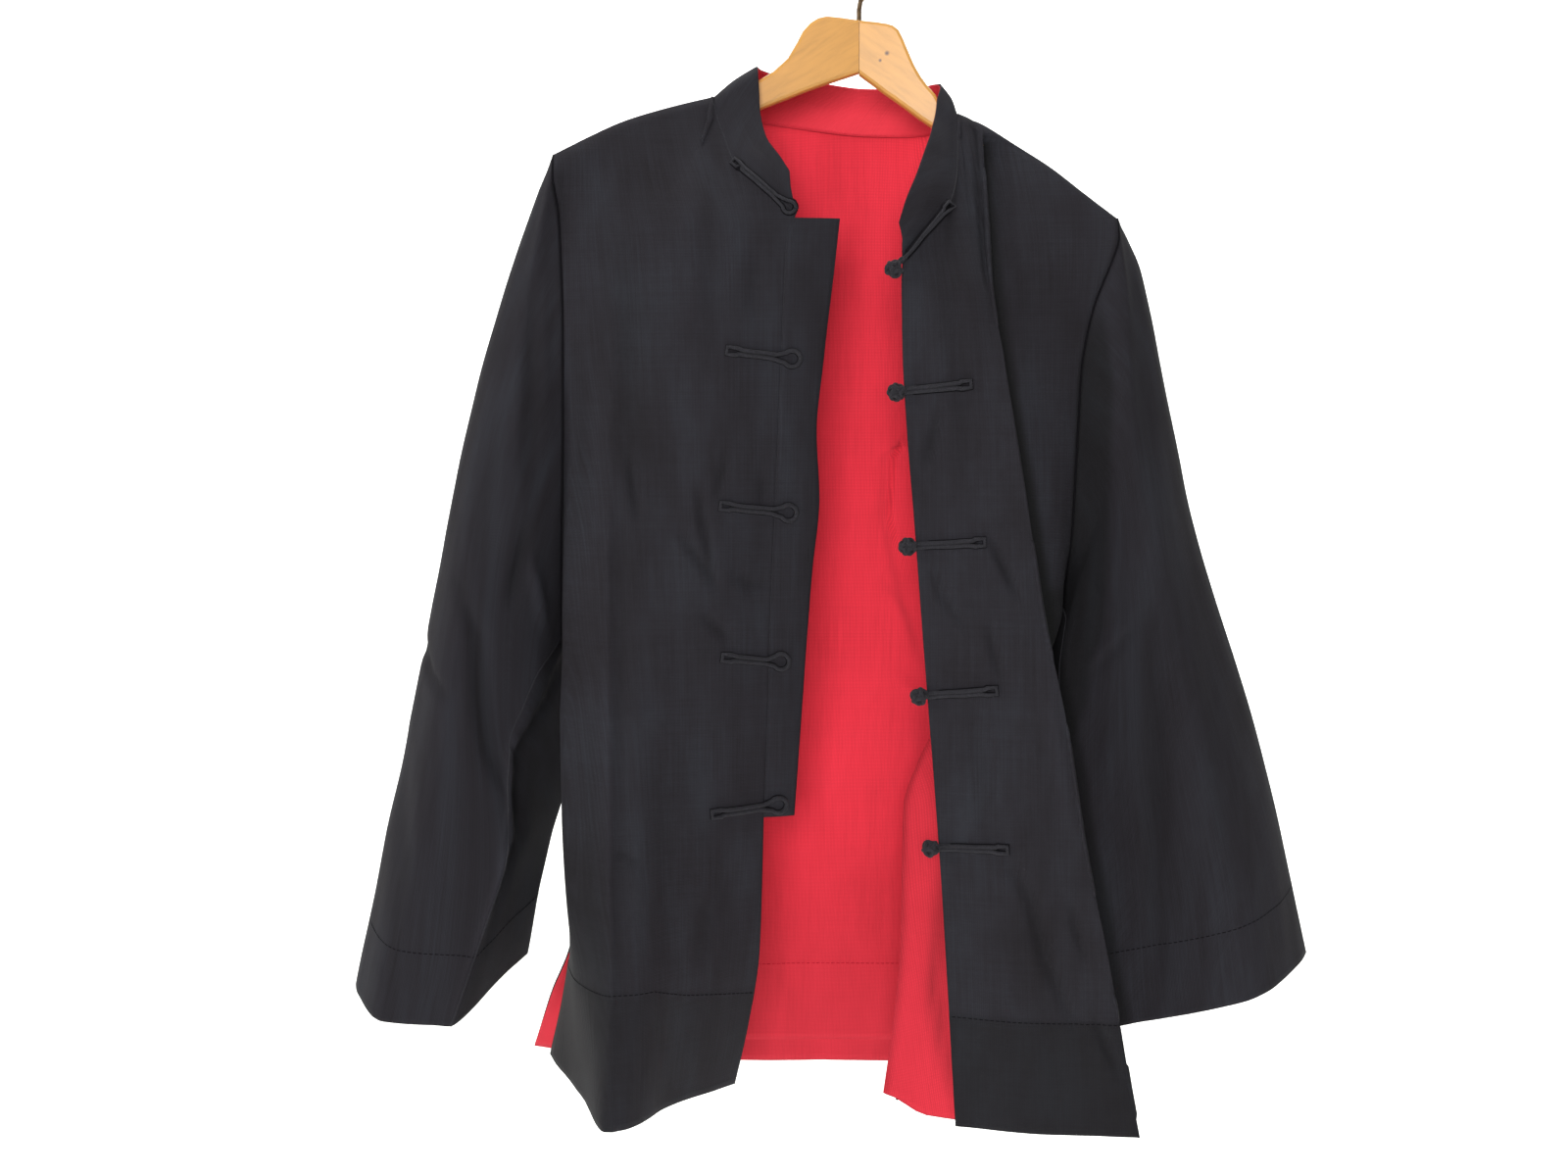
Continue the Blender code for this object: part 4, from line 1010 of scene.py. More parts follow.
def woven_cotton(name, colour, light, dark, slub, tint):
    """Plain-woven cotton: the two thread systems cross at one thread's spacing, and slubs streak both ways.

    The real cloth has about 24 threads to the centimetre. They are drawn 1.1 mm apart, so that they show.
    """
    material, nodes, shader = new_material(name, 0.88)
    place = add_node(nodes, "UVMap", uv_map="Cloth").outputs["UV"]
    warp = noise_at(nodes, mapped(nodes, place, Scale=(900.0, 14.0, 1.0)), 1.0, 3.0, 0.65, "2D")
    weft = noise_at(nodes, mapped(nodes, place, Scale=(14.0, 900.0, 1.0)), 1.0, 3.0, 0.65, "2D")
    streaks = mixed(nodes, slub, warp, weft)
    wear = noise_at(nodes, mapped(nodes, place, Scale=(26.0, 9.0, 1.0)), 1.0, 5.0, 0.6, "2D")
    warm = tuple(part / share * dark for part, share in zip(colour, tint))
    cool = tuple(part * share * light for part, share in zip(colour, tint))
    tones = ramp(nodes, mixed(nodes, 0.50, streaks, wear), (0.34, warm), (0.50, colour), (0.66, cool))

    scale = WAVE_PERIOD / bpy.context.scene.jacket_cloth.thread
    threads = {"Vector": place, "Scale": scale, "Distortion": 0.6, "Detail": 1.0, "Detail Scale": 0.6}
    upright = add_node(nodes, "TexWave", threads, bands_direction="X").outputs["Fac"]
    level = add_node(nodes, "TexWave", threads, bands_direction="Y").outputs["Fac"]
    crossed = combined(nodes, "MULTIPLY", upright, level)
    height = combined(nodes, "MULTIPLY_ADD", streaks, 1.4, crossed)
    tone = add_node(nodes, "Attribute", attribute_name="tone").outputs["Fac"]
    # The colour is darker where the weave lies low: painted shade between the threads
    dips = mixed_colour(nodes, 0.30, tones, crossed, "MULTIPLY")
    toned = add_node(nodes, "VectorMath", operation="SCALE")
    plug(toned, {0: dips, "Scale": tone})
    plug(shader, {"Base Color": toned.outputs[0], "Normal": bumps(nodes, height, 0.55, 0.00022),
                  "Specular IOR Level": 0.25, "Sheen Weight": 0.04, "Sheen Roughness": 0.45,
                  "Sheen Tint": (*shade(colour, 1.6), 1.0)})
    return material


@lru_cache(maxsize=None)
def outside_cotton():
    """Piece-dyed plain cotton, almost black: matt, with faint lighter slubs."""
    return woven_cotton("piece-dyed cotton plain weave, dark face",
                        tuple(bpy.context.scene.jacket_cloth.outside), 1.60, 0.55, 0.36, (0.90, 1.06, 1.02))


@lru_cache(maxsize=None)
def inside_cotton():
    """Piece-dyed plain cotton, red: matt, with faint upright streaks."""
    return woven_cotton("piece-dyed cotton plain weave, red face",
                        tuple(bpy.context.scene.jacket_cloth.inside), 1.07, 0.88, 0.25, (1.0, 1.04, 1.04))


@lru_cache(maxsize=None)
def rolled_cotton():
    """Bias strips of the dark cotton, rolled and sewn to a cord: ribbed by the weave turning round it."""
    material, nodes, shader = new_material("bias-rolled cotton cord", 0.85)
    colour = tuple(bpy.context.scene.jacket_closures.colour)
    place = object_place(nodes)
    turned = mapped(nodes, place, Rotation=(0.0, 0.7, 0.0))
    ribs = {"Vector": turned, "Scale": 285.0, "Distortion": 1.5, "Detail": 2.0}
    ribs = add_node(nodes, "TexWave", ribs, bands_direction="X").outputs["Fac"]
    grain = noise_at(nodes, place, 700.0, 3.0)
    tones = ramp(nodes, grain, (0.30, shade(colour, 0.7)), (0.55, colour), (0.75, shade(colour, 1.5)))
    normals = bumps(nodes, combined(nodes, "ADD", ribs, grain), 0.7, 0.0003)
    plug(shader, {"Base Color": tones, "Normal": normals, "Sheen Weight": 0.04, "Specular IOR Level": 0.25})
    return material


@lru_cache(maxsize=None)
def sewing_thread(dark=True):
    """Spun polyester thread: a little glossier than the cloth that it lies in."""
    material, nodes, shader = new_material("spun polyester thread, " + ("dark" if dark else "red"), 0.75)
    # The dark thread also makes the rims round the cords, where it is mainly painted shadow
    colour = linear("#0C0B0E") if dark else linear("#A81E2E")
    twist = noise_at(nodes, object_place(nodes), 1500.0, 1.0)
    tones = ramp(nodes, twist, (0.35, shade(colour, 0.7)), (0.65, shade(colour, 1.3)))
    plug(shader, {"Base Color": tones, "Specular IOR Level": 0.05})
    return material


@lru_cache(maxsize=None)
def beech(slope):
    """Steam-bent beech, sanded and clear-lacquered: long pale grain, short darker ray flecks, soft gloss."""
    arm = "left" if slope < 0 else "right"
    material, nodes, shader = new_material(f"clear-lacquered beech, {arm} arm", 0.42)
    colour = tuple(bpy.context.scene.jacket_hanger.wood)
    place = object_place(nodes)
    laid = mapped(nodes, place, Rotation=(0.0, slope, 0.0))
    grain = noise_at(nodes, mapped(nodes, laid, Scale=(14.0, 260.0, 260.0)), 1.0, 5.0, 0.6, distortion=0.4)
    flecks = {"Vector": mapped(nodes, laid, Scale=(320.0, 1700.0, 1700.0)), "Scale": 1.0}
    flecks = add_node(nodes, "TexVoronoi", flecks, feature="F1").outputs["Distance"]
    tones = ramp(nodes, grain, (0.30, shade(colour, 0.86)), (0.50, colour), (0.70, shade(colour, 1.08)))
    result = mixed_colour(nodes, 0.35, tones, ramp(nodes, flecks, (0.06, 0.72), (0.22, 1.0)), "MULTIPLY")
    for spot, size in WOOD_KNOTS:
        gap = add_node(nodes, "VectorMath", {0: place, 1: spot}, operation="DISTANCE").outputs["Value"]
        mark = ramp(nodes, combined(nodes, "DIVIDE", gap, size), (0.30, 1.0), (0.95, 0.0))
        result = mixed_colour(nodes, mark, result, (*linear("#4A2C1A"), 1.0))
    plug(shader, {"Base Color": result, "Normal": bumps(nodes, grain, 0.35, 0.0003), "Coat Weight": 0.25,
                  "Coat Roughness": 0.30})
    return material


@lru_cache(maxsize=None)
def steel_wire():
    """Drawn steel wire, zinc gone dull: darker spots, with the gloss changing along with them."""
    material, nodes, shader = new_material("drawn steel wire, dull zinc", 0.42, 1.0)
    colour = tuple(bpy.context.scene.jacket_hanger.wire)
    spots = noise_at(nodes, object_place(nodes), 240.0, 4.0)
    tones = ramp(nodes, spots, (0.35, shade(colour, 0.55)), (0.60, colour))
    gloss = add_node(nodes, "MapRange", {"Value": spots, "To Min": 0.30, "To Max": 0.55}).outputs["Result"]
    plug(shader, {"Base Color": tones, "Roughness": gloss})
    return material


def lengths_along(grid, axis):
    """Distance along the grid's rows or columns, in metres, from the first."""
    steps = np.linalg.norm(np.diff(grid, axis=axis), axis=2)
    start = np.zeros_like(np.take(steps, [0], axis=axis))
    return np.concatenate([start, np.cumsum(steps, axis=axis)], axis=axis)


def add_object(name, data):
    """Puts a mesh, curve, light or camera in the scene."""
    item = bpy.data.objects.new(name, data)
    bpy.context.scene.collection.objects.link(item)
    return item


def cloth_sheet(name, grid, outward, faces, wall, tone, hidden, closed, plumb):
    """A wall of cloth whose outer side is the grid: faces are its outer and inner materials.

    In the hidden ranges (first column, last column, last row, all of the unrefined grid) both sides are the
    outer one. tone is stored on the points and scales the colour. On a plumb sheet the threads hang straight
    down; on the others they follow the columns.
    """
    rows, columns = grid.shape[:2]
    if plumb:
        u, v = grid[..., 0] + PLUMB_LEAN * grid[..., 1], -grid[..., 2]
    else:
        u, v = lengths_along(grid, 1), lengths_along(grid, 0)
    mesh = bpy.data.meshes.new(name)
    bm = bmesh.new()
    bmesh.ops.create_grid(bm, x_segments=columns - 1, y_segments=rows - 1, size=1.0)
    layer = bm.loops.layers.uv.new("Cloth")
    layer_of_tone = bm.verts.layers.float.new("tone")
    tone = np.broadcast_to(tone, (rows, columns))
    place = {}
    for vert in bm.verts:
        column = round((vert.co.x + 1) / 2 * (columns - 1))
        row = round((vert.co.y + 1) / 2 * (rows - 1))
        place[vert.index] = (row, column)
        vert.co = grid[row, column]
        vert[layer_of_tone] = tone[row, column]
    for face in bm.faces:
        for loop in face.loops:
            loop[layer].uv = (u[place[loop.vert.index]], v[place[loop.vert.index]])
        row, column = (sum(place[vert.index][axis] for vert in face.verts) / 4 for axis in (0, 1))
        row, column = row / FINER_ROWS, column / FINER_COLUMNS
        if any(first <= column <= last and row <= lowest for first, last, lowest in hidden):
            face.material_index = len(faces)
    if closed:
        bmesh.ops.remove_doubles(bm, verts=bm.verts, dist=1e-6)
    bm.normal_update()
    middle = grid[rows // 2, :2].mean(axis=0)
    near = min(bm.faces, key=lambda face: (face.calc_center_median() - Vector(middle)).length)
    if near.normal.dot(Vector(outward)) < 0:
        bmesh.ops.reverse_faces(bm, faces=bm.faces)
    bm.to_mesh(mesh)
    bm.free()
    item = add_object(name, mesh)
    for material in (*faces, faces[0], faces[0]) if hidden else faces:
        mesh.materials.append(material)
    mesh.shade_smooth()
    solid = item.modifiers.new("Wall", "SOLIDIFY")
    solid.thickness = wall
    solid.offset = -1.0
    solid.use_even_offset = False
    solid.material_offset = len(faces) - 1
    solid.material_offset_rim = 0
    return item


def add_sheets(*names, closed=False, plumb=True):
    """Makes sheets of cloth, each in place of the sewn piece of the same name, which it hides."""
    grids, tones = surfaces()
    for name in names:
        if name.endswith("lining"):
            faces, wall, slot = (inside_cotton(),), LINING_WALL, "red_lining"
        else:
            faces, wall, slot = (outside_cotton(), inside_cotton()), WALL, "dark_cloth"
        if name == "collar":
            faces = faces[:1]
        item = cloth_sheet(name + "_cloth", grids[name], OUTWARD[name], faces, wall, tones[name],
                           HIDDEN.get(name, ()), closed, plumb)
        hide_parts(name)
        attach(item, "root")


class JACKET_OT_body(bpy.types.Operator):
    """Makes the two fronts, the back, the strip under the loops and the linings that show"""

    bl_idname = "jacket.body"
    bl_label = "Body"

    def execute(self, context):
        add_sheets("front_right", "front_left", "back", "underlap", "back_lining", "front_left_lining")
        return {"FINISHED"}


class JACKET_OT_sleeves(bpy.types.Operator):
    """Makes the two sleeves, open at the cuffs"""

    bl_idname = "jacket.sleeves"
    bl_label = "Sleeves"

    def execute(self, context):
        add_sheets("sleeve_right", "sleeve_left", closed=True, plumb=False)
        return {"FINISHED"}


class JACKET_OT_collar(bpy.types.Operator):
    """Makes the standing collar and its red inside"""

    bl_idname = "jacket.collar"
    bl_label = "Collar"

    def execute(self, context):
        add_sheets("collar", "collar_lining", plumb=False)
        return {"FINISHED"}


def cloth_search(*names):
    """A search tree over the finished outer and inner faces of the named pieces."""
    bpy.context.view_layer.update()
    graph = bpy.context.evaluated_depsgraph_get()
    verts, faces = [], []
    for name in names:
        item = bpy.data.objects[name].evaluated_get(graph)
        mesh = item.to_mesh()
        base = len(verts)
        verts += [vert.co.copy() for vert in mesh.vertices]
        faces += [[base + index for index in face.vertices] for face in mesh.polygons]
        item.to_mesh_clear()
    return BVHTree.FromPolygons(verts, faces)


def on_surface(tree, x, z, lift):
    """The point in front of the cloth at (x, z), lifted off it. Past an edge it stays level with the edge."""
    for step in range(60):
        for side in (-1, 1):
            spot, normal, _, _ = tree.ray_cast(Vector((x + side * step * 0.0005, -1.0, z)), Vector((0, 1, 0)))
            if spot is not None and spot.y < FURTHEST_BACK:
                if step:
                    return Vector((x, spot.y - lift, z))
                return spot + (normal if normal.y < 0 else -normal) * lift
    raise ValueError(f"no cloth near {x:.4f}, {z:.4f}")


def finished(name, data, material):
    """An object of the data, with its material and the body that it rides on."""
    item = add_object(name, data)
    data.materials.append(material)
    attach(item, "root")
    return item


def roll(name, lines, radius, material, cyclic=False):
    """A round cord, thread or seam roll along each line of points."""
    curve = bpy.data.curves.new(name, "CURVE")
    curve.dimensions = "3D"
    curve.bevel_depth = radius
    curve.bevel_resolution = 3
    curve.use_fill_caps = True
    for line in lines:
        spline = curve.splines.new("POLY")
        spline.points.add(len(line) - 1)
        for point, place in zip(spline.points, line):
            point.co = (*place, 1.0)
        spline.use_cyclic_u = cyclic
    return finished(name, curve, material)


def tuples(points):
    """The rows of an array as tuples."""
    return [tuple(point) for point in points]


def between(first, second, inwards):
    """Points halfway between two edges, moved by a small step."""
    return tuples((first + second) / 2 + inwards)


class JACKET_OT_seams(bpy.types.Operator):
    """Makes the rolled seam allowances that show as fine lines where two pieces are sewn together"""

    bl_idname = "jacket.seams"
    bl_label = "Seams"

    def execute(self, context):
        grids, _ = surfaces()
        right, left, back = grids["front_right"], grids["front_left"], grids["back"]
        pit, vent = ARMPIT_ROW * FINER_ROWS, VENT_ROW * FINER_ROWS
        sides = [between(right[pit:vent, -1], back[pit:vent, 0], RIGHT_SIDE_IN),
                 between(left[pit:vent, -1], back[pit:vent, -1], LEFT_SIDE_IN)]
        armholes, unders = [], []
        for name, side in (("sleeve_right", 1), ("sleeve_left", -1)):
            grid = grids[name]
            ring = grid[0]
            inner = ring + (ring.mean(axis=0) - ring) * ARMHOLE_SINK
            armholes.append(tuples(inner[:-1] + np.array([side * ARMHOLE_SEAM / 2, 0, 0])))
            column = (grid.shape[1] - 1) // 2
            normals = outward_normals(grid, OUTWARD[name], closed=True)
            unders.append(tuples(grid[4:, column] - normals[4:, column] * SEAM_GAP))
        normals = outward_normals(grids["collar"], OUTWARD["collar"])
        neck = tuples(grids["collar"][0] - normals[0] * SEAM_RADIUS - np.array([0, 0, COLLAR_SEAM]))
        strip = tuples(grids["underlap"][:, 0] + UNDERLAP_SEAM_IN)
        count = min(FINER_COLUMNS * 4, right.shape[1] - 1)
        shoulders = [between(right[0, -count:], back[0, count - 1::-1], SHOULDER_SEAM_IN),
                     between(left[0, -count:], back[0, -count:], SHOULDER_SEAM_IN)]
        cord, thread = rolled_cotton(), sewing_thread()
        roll("side_seams", sides, SEAM_RADIUS, cord)
        roll("armhole_seams", armholes, SEAM_RADIUS, thread, cyclic=True)
        roll("underarm_seams", unders, SEAM_RADIUS, cord)
        roll("neck_seam", [neck], NECK_SEAM_RADIUS, cord)
        roll("underlap_seam", [strip], SEAM_RADIUS, cord)
        roll("shoulder_seams", shoulders, SEAM_RADIUS, cord)
        return {"FINISHED"}


def crossings(grid, run, wanted):
    """Where each column's run passes the wanted value, as points and the row and column before each."""
    places, spots = [], []
    for column, value in enumerate(np.broadcast_to(wanted, grid.shape[1])):
        if not run[0, column] < value < run[:, column].max():
            continue
        row = np.interp(value, run[:, column], np.arange(len(grid)))
        low = int(row)
        high = min(low + 1, len(grid) - 1)
        places.append(grid[low, column] * (1 - row + low) + grid[high, column] * (row - low))
        spots.append((low, column))
    return np.array(places), spots


def sew(bm, places, normals, sink):
    """Puts short stitches at an even pitch along the points, half sunk in the cloth."""
    steps = np.linalg.norm(np.diff(places, axis=0), axis=1)
    run = np.concatenate([[0], np.cumsum(steps)])
    for start in np.arange(0.002, run[-1] - STITCH_LENGTH, STITCH_PITCH):
        first = np.array([np.interp(start, run, places[:, axis]) for axis in range(3)])
        last = np.array([np.interp(start + STITCH_LENGTH, run, places[:, axis]) for axis in range(3)])
        normal = np.array([np.interp(start, run, normals[:, axis]) for axis in range(3)])
        middle = (first + last) / 2 + normal * sink
        turn = Vector(last - first).to_track_quat("Z", "Y").to_matrix().to_4x4()
        bmesh.ops.create_cone(bm, cap_ends=True, segments=5, radius1=STITCH_RADIUS, radius2=STITCH_RADIUS,
                              depth=STITCH_LENGTH, matrix=Matrix.Translation(middle) @ turn)


def mesh_piece(name, bm, material):
    """A piece from a finished bmesh."""
    mesh = bpy.data.meshes.new(name)
    bm.to_mesh(mesh)
    bm.free()
    return finished(name, mesh, material)


class JACKET_OT_stitches(bpy.types.Operator):
    """Sews the hems of the body, the cuffs and the red lining with small even stitches"""

    bl_idname = "jacket.stitches"
    bl_label = "Hem stitches"

    def execute(self, context):
        grids, _ = surfaces()
        bm = bmesh.new()
        tops = {"front_right": right_hem_top(grids["front_right"]), "front_left": BODY_HEM_TOP,
                "back": BACK_HEM_TOP, "sleeve_right": None, "sleeve_left": None}
        for name, top in tops.items():
            grid = grids[name]
            on_sleeve = top is None
            normals = outward_normals(grid, OUTWARD[name], closed=on_sleeve)
            run = lengths_along(grid, 0) if on_sleeve else -grid[..., 2]
            places, spots = crossings(grid, run, run[-1] - CUFF_BAND if on_sleeve else -top)
            sew(bm, places, np.array([normals[spot] for spot in spots]), STITCH_SINK)
        mesh_piece("hem_stitches", bm, sewing_thread())

        bm = bmesh.new()
        grid = grids["back_lining"]
        normals = -outward_normals(grid, OUTWARD["back_lining"])
        places, spots = crossings(grid, -grid[..., 2], -BACK_HEM_TOP)
        facing = np.array([normals[spot] for spot in spots])
        sew(bm, places + facing * LINING_WALL, facing, STITCH_SINK)
        mesh_piece("lining_stitches", bm, sewing_thread(False))
        return {"FINISHED"}


def arc_points(centre, start, turn, radius, count):
    """Points along an arc in the plane of the cloth."""
    return [(centre[0] + radius * math.cos(start + turn * index / count),
             centre[1] + radius * math.sin(start + turn * index / count)) for index in range(count + 1)]


def run(start, end):
    """Evenly spaced points from start to end, without the end."""
    count = max(2, round(math.dist(start, end) / CORD_STEP))
    return [(start[0] + (end[0] - start[0]) * i / count, start[1] + (end[1] - start[1]) * i / count)
            for i in range(count)]


def beside(point, heading, offset):
    """The point moved to one side of the heading."""
    return (point[0] - math.sin(heading) * offset, point[1] + math.cos(heading) * offset)


def towards(start, end, share):
    """A point part of the way from start to end."""
    return (start[0] + (end[0] - start[0]) * share, start[1] + (end[1] - start[1]) * share)


def square_end(end, inner, heading, half):
    """The cord's square end: out along one side of the tail and back along the other."""
    wide = half * TAIL_FLARE
    near = towards(end, inner, 0.8)
    return [beside(near, heading, -wide), beside(end, heading, -wide), beside(end, heading, wide),
            beside(near, heading, wide)]


def loop_route(closure, half, size):
    """Out along one cord, round the eye and back along the other, square and a little wider at the tail."""
    heading = math.atan2(closure.neck[1] - closure.tail[1], closure.neck[0] - closure.tail[0])
    square = TAIL_SQUARE * size / max(math.dist(closure.tail, closure.neck), TAIL_SQUARE)
    inner = towards(closure.tail, closure.neck, square)
    out = run(beside(inner, heading, -half), beside(closure.neck, heading, -half))
    eye = arc_points(closure.eye, heading - EYE_OPEN, 2 * EYE_OPEN, EYE_RADIUS * size, 22)
    home = run(beside(closure.neck, heading, half), beside(inner, heading, half))
    return out + eye + home + square_end(closure.tail, inner, heading, half)[::-1]


def tail_route(start, end, half, size):
    """From the knot to the tail's square end and back, as one doubled cord."""
    heading = math.atan2(end[1] - start[1], end[0] - start[0])
    square = 1 - TAIL_SQUARE * size / max(math.dist(start, end), TAIL_SQUARE)
    inner = towards(start, end, square)
    out = run(beside(start, heading, -0.75 * half), beside(inner, heading, -half))
    home = run(beside(inner, heading, half), beside(start, heading, 0.75 * half))
    return out + square_end(end, inner, heading, half) + home + [beside(start, heading, 0.75 * half)]


def laid(route, tree, lift, seed):
    """The route on the cloth, with the small unevenness of hand-sewn cord."""
    noise.seed_set(CORD_SEED)
    places = []
    for x, z in route:
        spot = on_surface(tree, x, z, lift)
        drift = noise.noise_vector(Vector((x / 0.012, seed, z / 0.012))) * 0.00035
        places.append(spot + Vector((drift.x, drift.y * 0.4, drift.z)))
    return [tuple(place) for place in places]


class JACKET_OT_loops(bpy.types.Operator):
    """Makes the five cord loops on the wearer's right front"""

    bl_idname = "jacket.loops"
    bl_label = "Loops"

    def execute(self, context):
        radius = context.scene.jacket_closures.cord / 2
        tree = cloth_search("front_right_cloth", "underlap_cloth", "collar_cloth")
        edges = []
        for number, closure in enumerate(LOOPS, 1):
            size = COLLAR_CORD if number == 1 else 1.0
            lift = radius * 0.86 * size + (LOOP_LIFT_AT_COLLAR if number == 1 else 0.0)
            route = loop_route(closure, RUN_APART / 2 * size, size)
            places = laid(route, tree, lift, number)
            edges.append(laid(route, tree, -radius * EDGE_SINK, number))
            item = roll(f"loop_{number}_cord", [places], radius * size, rolled_cotton(), cyclic=True)
            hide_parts(f"loop_{number}")
        # Dark thread rims round the loops: whip stitches that are mainly a painted shadow round the cords
        roll("loop_stitches", edges, radius * EDGE_STITCH_AND_SHADOW, sewing_thread(), cyclic=True)
        return {"FINISHED"}


def knot_strand(centre, radius, tilt):
    """One strand woven over and under itself round a ball: three turns with four bights."""
    turns, bights, count = 3, 4, 168
    places = []
    for index in range(count):
        angle = 2 * math.pi * turns * index / count
        rise = 0.98 * math.sin(bights * angle / turns)
        reach = radius * (1 + 0.10 * math.cos(2 * bights * angle / turns + 0.6))
        spot = Vector((math.cos(rise) * math.cos(angle), math.cos(rise) * math.sin(angle), math.sin(rise)))
        places.append(tuple(Vector(centre) + tilt @ (spot * reach)))
    return places


class JACKET_OT_knots(bpy.types.Operator):
    """Makes the five woven ball knots and their doubled tails on the wearer's left front"""

    bl_idname = "jacket.knots"
    bl_label = "Knots"

    def execute(self, context):
        closures = context.scene.jacket_closures
        radius = closures.cord / 2
        tree = cloth_search("front_left_cloth", "collar_cloth")
        edges = []
        for number, place in enumerate(KNOTS, 1):
            low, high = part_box(f"knot_{number}")
            centre = (low + high) / 2
            heading = math.atan2(place.tail[1] - centre.z, place.tail[0] - centre.x)
            reach = closures.knot + KNOT_TO_TAIL
            start = (centre.x + reach * math.cos(heading), centre.z + reach * math.sin(heading))
            size = COLLAR_CORD if number == 1 else 1.0
            lift = radius * 0.86 * size + (TAIL_LIFT_AT_COLLAR if number == 1 else 0.0)
            route = tail_route(start, place.tail, RUN_APART / 2 * size, size)
            places = laid(route, tree, lift, number + 7)
            edges.append(laid(route[2:-3], tree, lift - radius * EDGE_SINK * 1.6, number + 7))
            tail = roll(f"tail_{number}_cord", [places], radius * size, rolled_cotton())
            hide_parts(f"tail_{number}")
            tilt = (Matrix.Rotation(0.4 + 0.5 * number, 3, "Y") @ Matrix.Rotation(0.9 + 0.3 * number, 3, "X"))
            strand = knot_strand(centre, closures.knot, tilt)
            ball = roll(f"knot_{number}_cord", [strand], radius * 0.95, rolled_cotton(), cyclic=True)
            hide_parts(f"knot_{number}")
            bm = bmesh.new()
            bmesh.ops.create_icosphere(bm, subdivisions=3, radius=closures.knot * 0.86)
            bmesh.ops.translate(bm, verts=bm.verts, vec=centre)
            core = mesh_piece(f"knot_{number}_core", bm, rolled_cotton())
            core.data.shade_smooth()
        # Dark thread rims round the tails: whip stitches that are mainly a painted shadow round the cords
        roll("tail_stitches", edges, radius * EDGE_STITCH_AND_SHADOW, sewing_thread())
        return {"FINISHED"}


class JACKET_OT_hanger(bpy.types.Operator):
    """Gives the two wooden arms their lacquered beech"""

    bl_idname = "jacket.hanger"
    bl_label = "Hanger arms"

    def execute(self, context):
        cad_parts["hanger_arm_left"].material_slots[0].material = beech(-ARM_SLOPE_LEFT)
        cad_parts["hanger_arm_right"].material_slots[0].material = beech(ARM_SLOPE_RIGHT)
        return {"FINISHED"}


class JACKET_OT_hook(bpy.types.Operator):
    """Gives the hook its dull steel"""

    bl_idname = "jacket.hook"
    bl_label = "Hook"

    def execute(self, context):
        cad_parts["hook"].material_slots[0].material = steel_wire()
        return {"FINISHED"}


def paint(name, colour, glow):
    """Matt emulsion paint: even, faintly mottled by the roller."""
    material, nodes, shader = new_material(name, 0.9)
    mottle = noise_at(nodes, object_place(nodes), 3.0, 3.0)
    tones = ramp(nodes, mottle, (0.3, shade(colour, 0.985)), (0.7, colour))
    plug(shader, {"Base Color": tones, "Emission Color": (*colour, 1.0), "Emission Strength": glow})
    return material


def add_light(name, place, aim, size, power):
    """A large soft square light that points at a place."""
    light = bpy.data.lights.new(name, "AREA")
    light.shape = "SQUARE"
    light.size = size
    light.energy = power
    item = add_object(name, light)
    item.location = place
    item.rotation_euler = (Vector(aim) - Vector(place)).to_track_quat("-Z", "Y").to_euler()


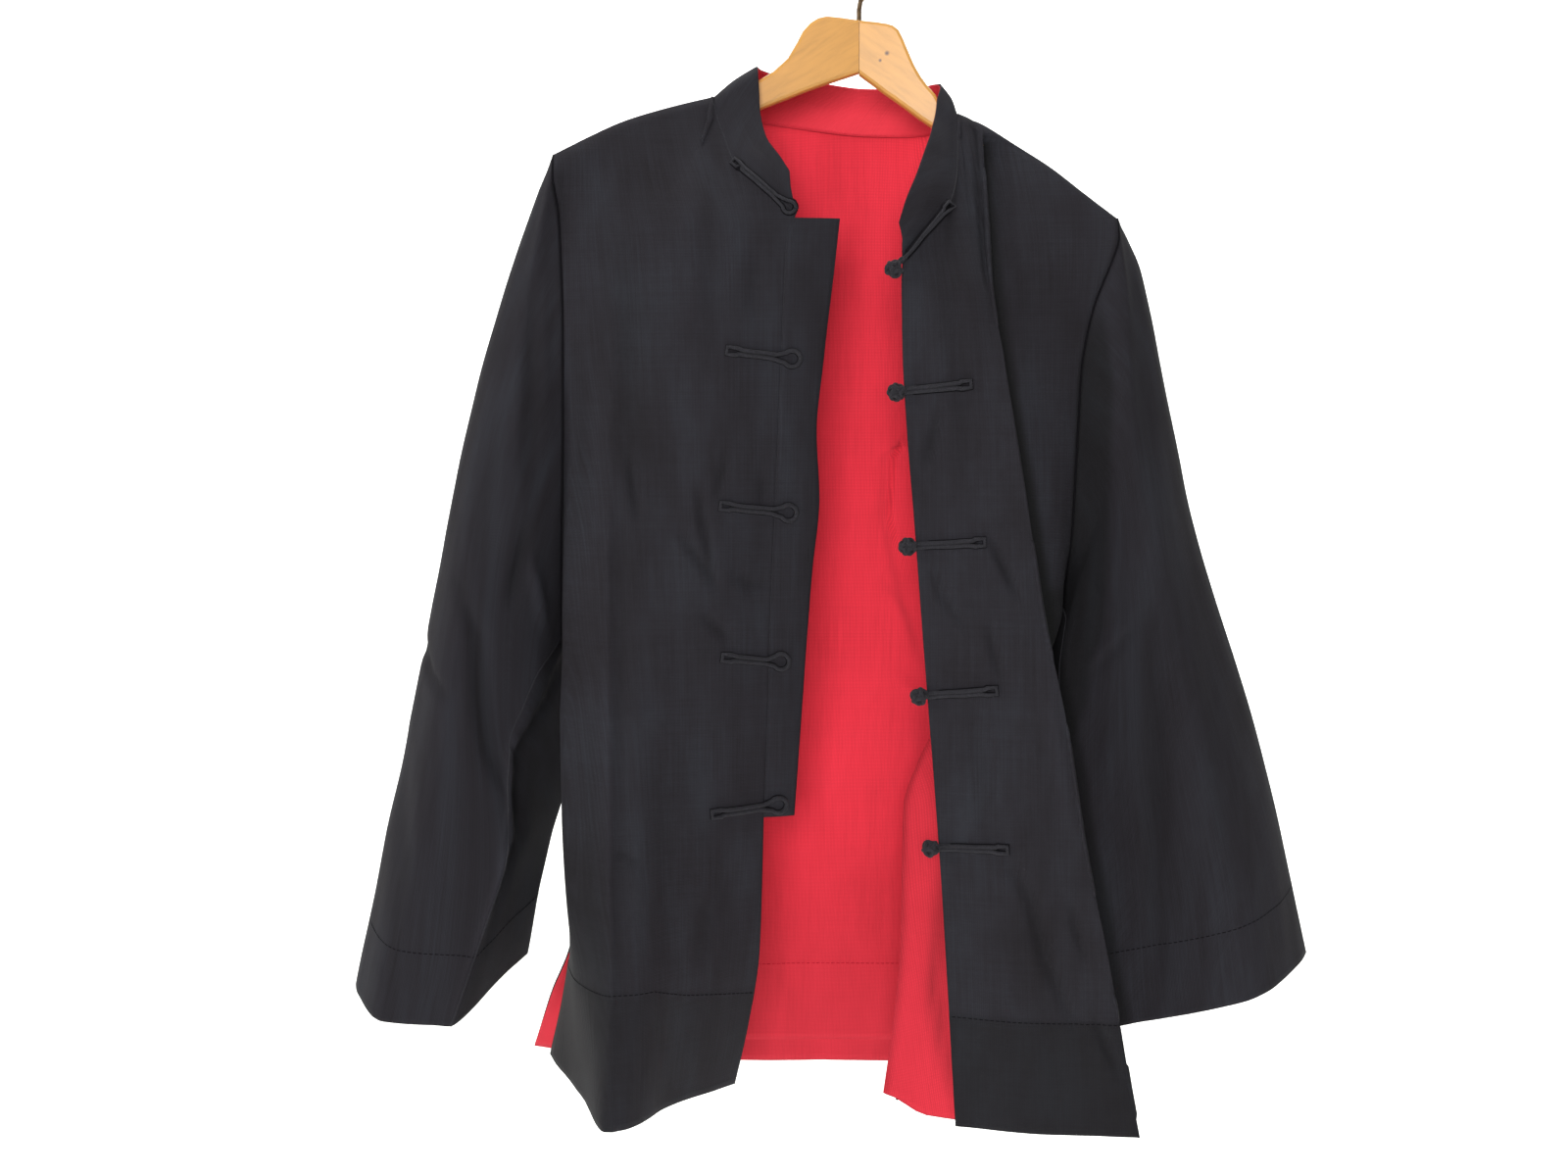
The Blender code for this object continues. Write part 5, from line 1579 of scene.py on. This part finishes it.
class JACKET_OT_stage(bpy.types.Operator):
    """Makes the floor with its curved backdrop, the light and the camera"""

    bl_idname = "jacket.stage"
    bl_label = "Stage"

    def execute(self, context):
        stage = context.scene.jacket_stage
        profile = [(-4.0, 0.0), (1.4, 0.0)]
        profile += [(1.4 + math.sin(step * math.pi / 16), 1.0 - math.cos(step * math.pi / 16))
                    for step in range(1, 9)]
        profile.append((2.4, 4.0))
        mesh = bpy.data.meshes.new("floor")
        bm = bmesh.new()
        bmesh.ops.create_grid(bm, x_segments=1, y_segments=len(profile) - 1, size=1.0)
        for vert in bm.verts:
            y, rise = profile[round((vert.co.y + 1) / 2 * (len(profile) - 1))]
            vert.co = (vert.co.x * 5.0, y, stage.floor_height + rise)
        bm.to_mesh(mesh)
        bm.free()
        floor = add_object("floor", mesh)
        mesh.shade_smooth()
        mesh.materials.append(paint("matt white emulsion", tuple(stage.floor), 0.62))

        world = bpy.data.worlds.new("soft room light")
        world.use_nodes = True
        plug(world.node_tree.nodes["Background"], {"Color": (1.0, 1.0, 1.0, 1.0), "Strength": 0.18})
        context.scene.world = world
        add_light("front light", (-0.28, -2.68, 0.02), (0.0, 0.0, -0.45), 1.1, stage.front_power)
        add_light("side light", (-2.1, -0.75, 0.35), (-0.05, 0.0, -0.45), 0.7, stage.side_power)
        add_light("backdrop light", (0.0, 0.4, 1.6), (0.0, 2.4, -0.2), 2.0, stage.front_power)
        context.scene.view_settings.view_transform = "Standard"

        camera = bpy.data.cameras.new("photograph")
        camera.sensor_width = SENSOR
        camera.lens = FOCAL_PIXELS / PHOTO_WIDTH * SENSOR
        item = add_object("photograph", camera)
        item.location = CAMERA_PLACE
        item.rotation_euler = (math.pi / 2 - CAMERA_DIP, 0.0, 0.0)
        context.scene.camera = item
        return {"FINISHED"}


OPERATORS = (JACKET_OT_body, JACKET_OT_sleeves, JACKET_OT_collar, JACKET_OT_seams, JACKET_OT_stitches,
             JACKET_OT_loops, JACKET_OT_knots, JACKET_OT_hanger, JACKET_OT_hook, JACKET_OT_stage)
SETTINGS = {
    "jacket_cloth": JacketClothSettings,
    "jacket_closures": JacketClosureSettings,
    "jacket_hanger": JacketHangerSettings,
    "jacket_stage": JacketStageSettings,
}


class JACKET_PT_panel(bpy.types.Panel):
    """Lists the pieces and their settings"""

    bl_idname = "JACKET_PT_panel"
    bl_label = "Mandarin Collar Jacket"
    bl_space_type = "VIEW_3D"
    bl_region_type = "UI"
    bl_category = "Jacket"

    def draw(self, context):
        for name, kind in SETTINGS.items():
            box = self.layout.box()
            box.label(text=kind.__doc__)
            for field in kind.__annotations__:
                box.prop(getattr(context.scene, name), field)
        for kind in OPERATORS:
            self.layout.operator(kind.bl_idname)


def register():
    """Registers the settings, the operators and the panel."""
    for kind in (*SETTINGS.values(), *OPERATORS, JACKET_PT_panel):
        bpy.utils.register_class(kind)
    for name, kind in SETTINGS.items():
        setattr(bpy.types.Scene, name, PointerProperty(type=kind))


def unregister():
    """Takes them away again."""
    for name in SETTINGS:
        delattr(bpy.types.Scene, name)
    for kind in reversed((*SETTINGS.values(), *OPERATORS, JACKET_PT_panel)):
        bpy.utils.unregister_class(kind)


def main():
    """Builds every piece in order."""
    register()
    for kind in OPERATORS:
        getattr(bpy.ops.jacket, kind.bl_idname.split(".")[1])()
    bpy.context.view_layer.update()


if __name__ == "__main__":
    main()
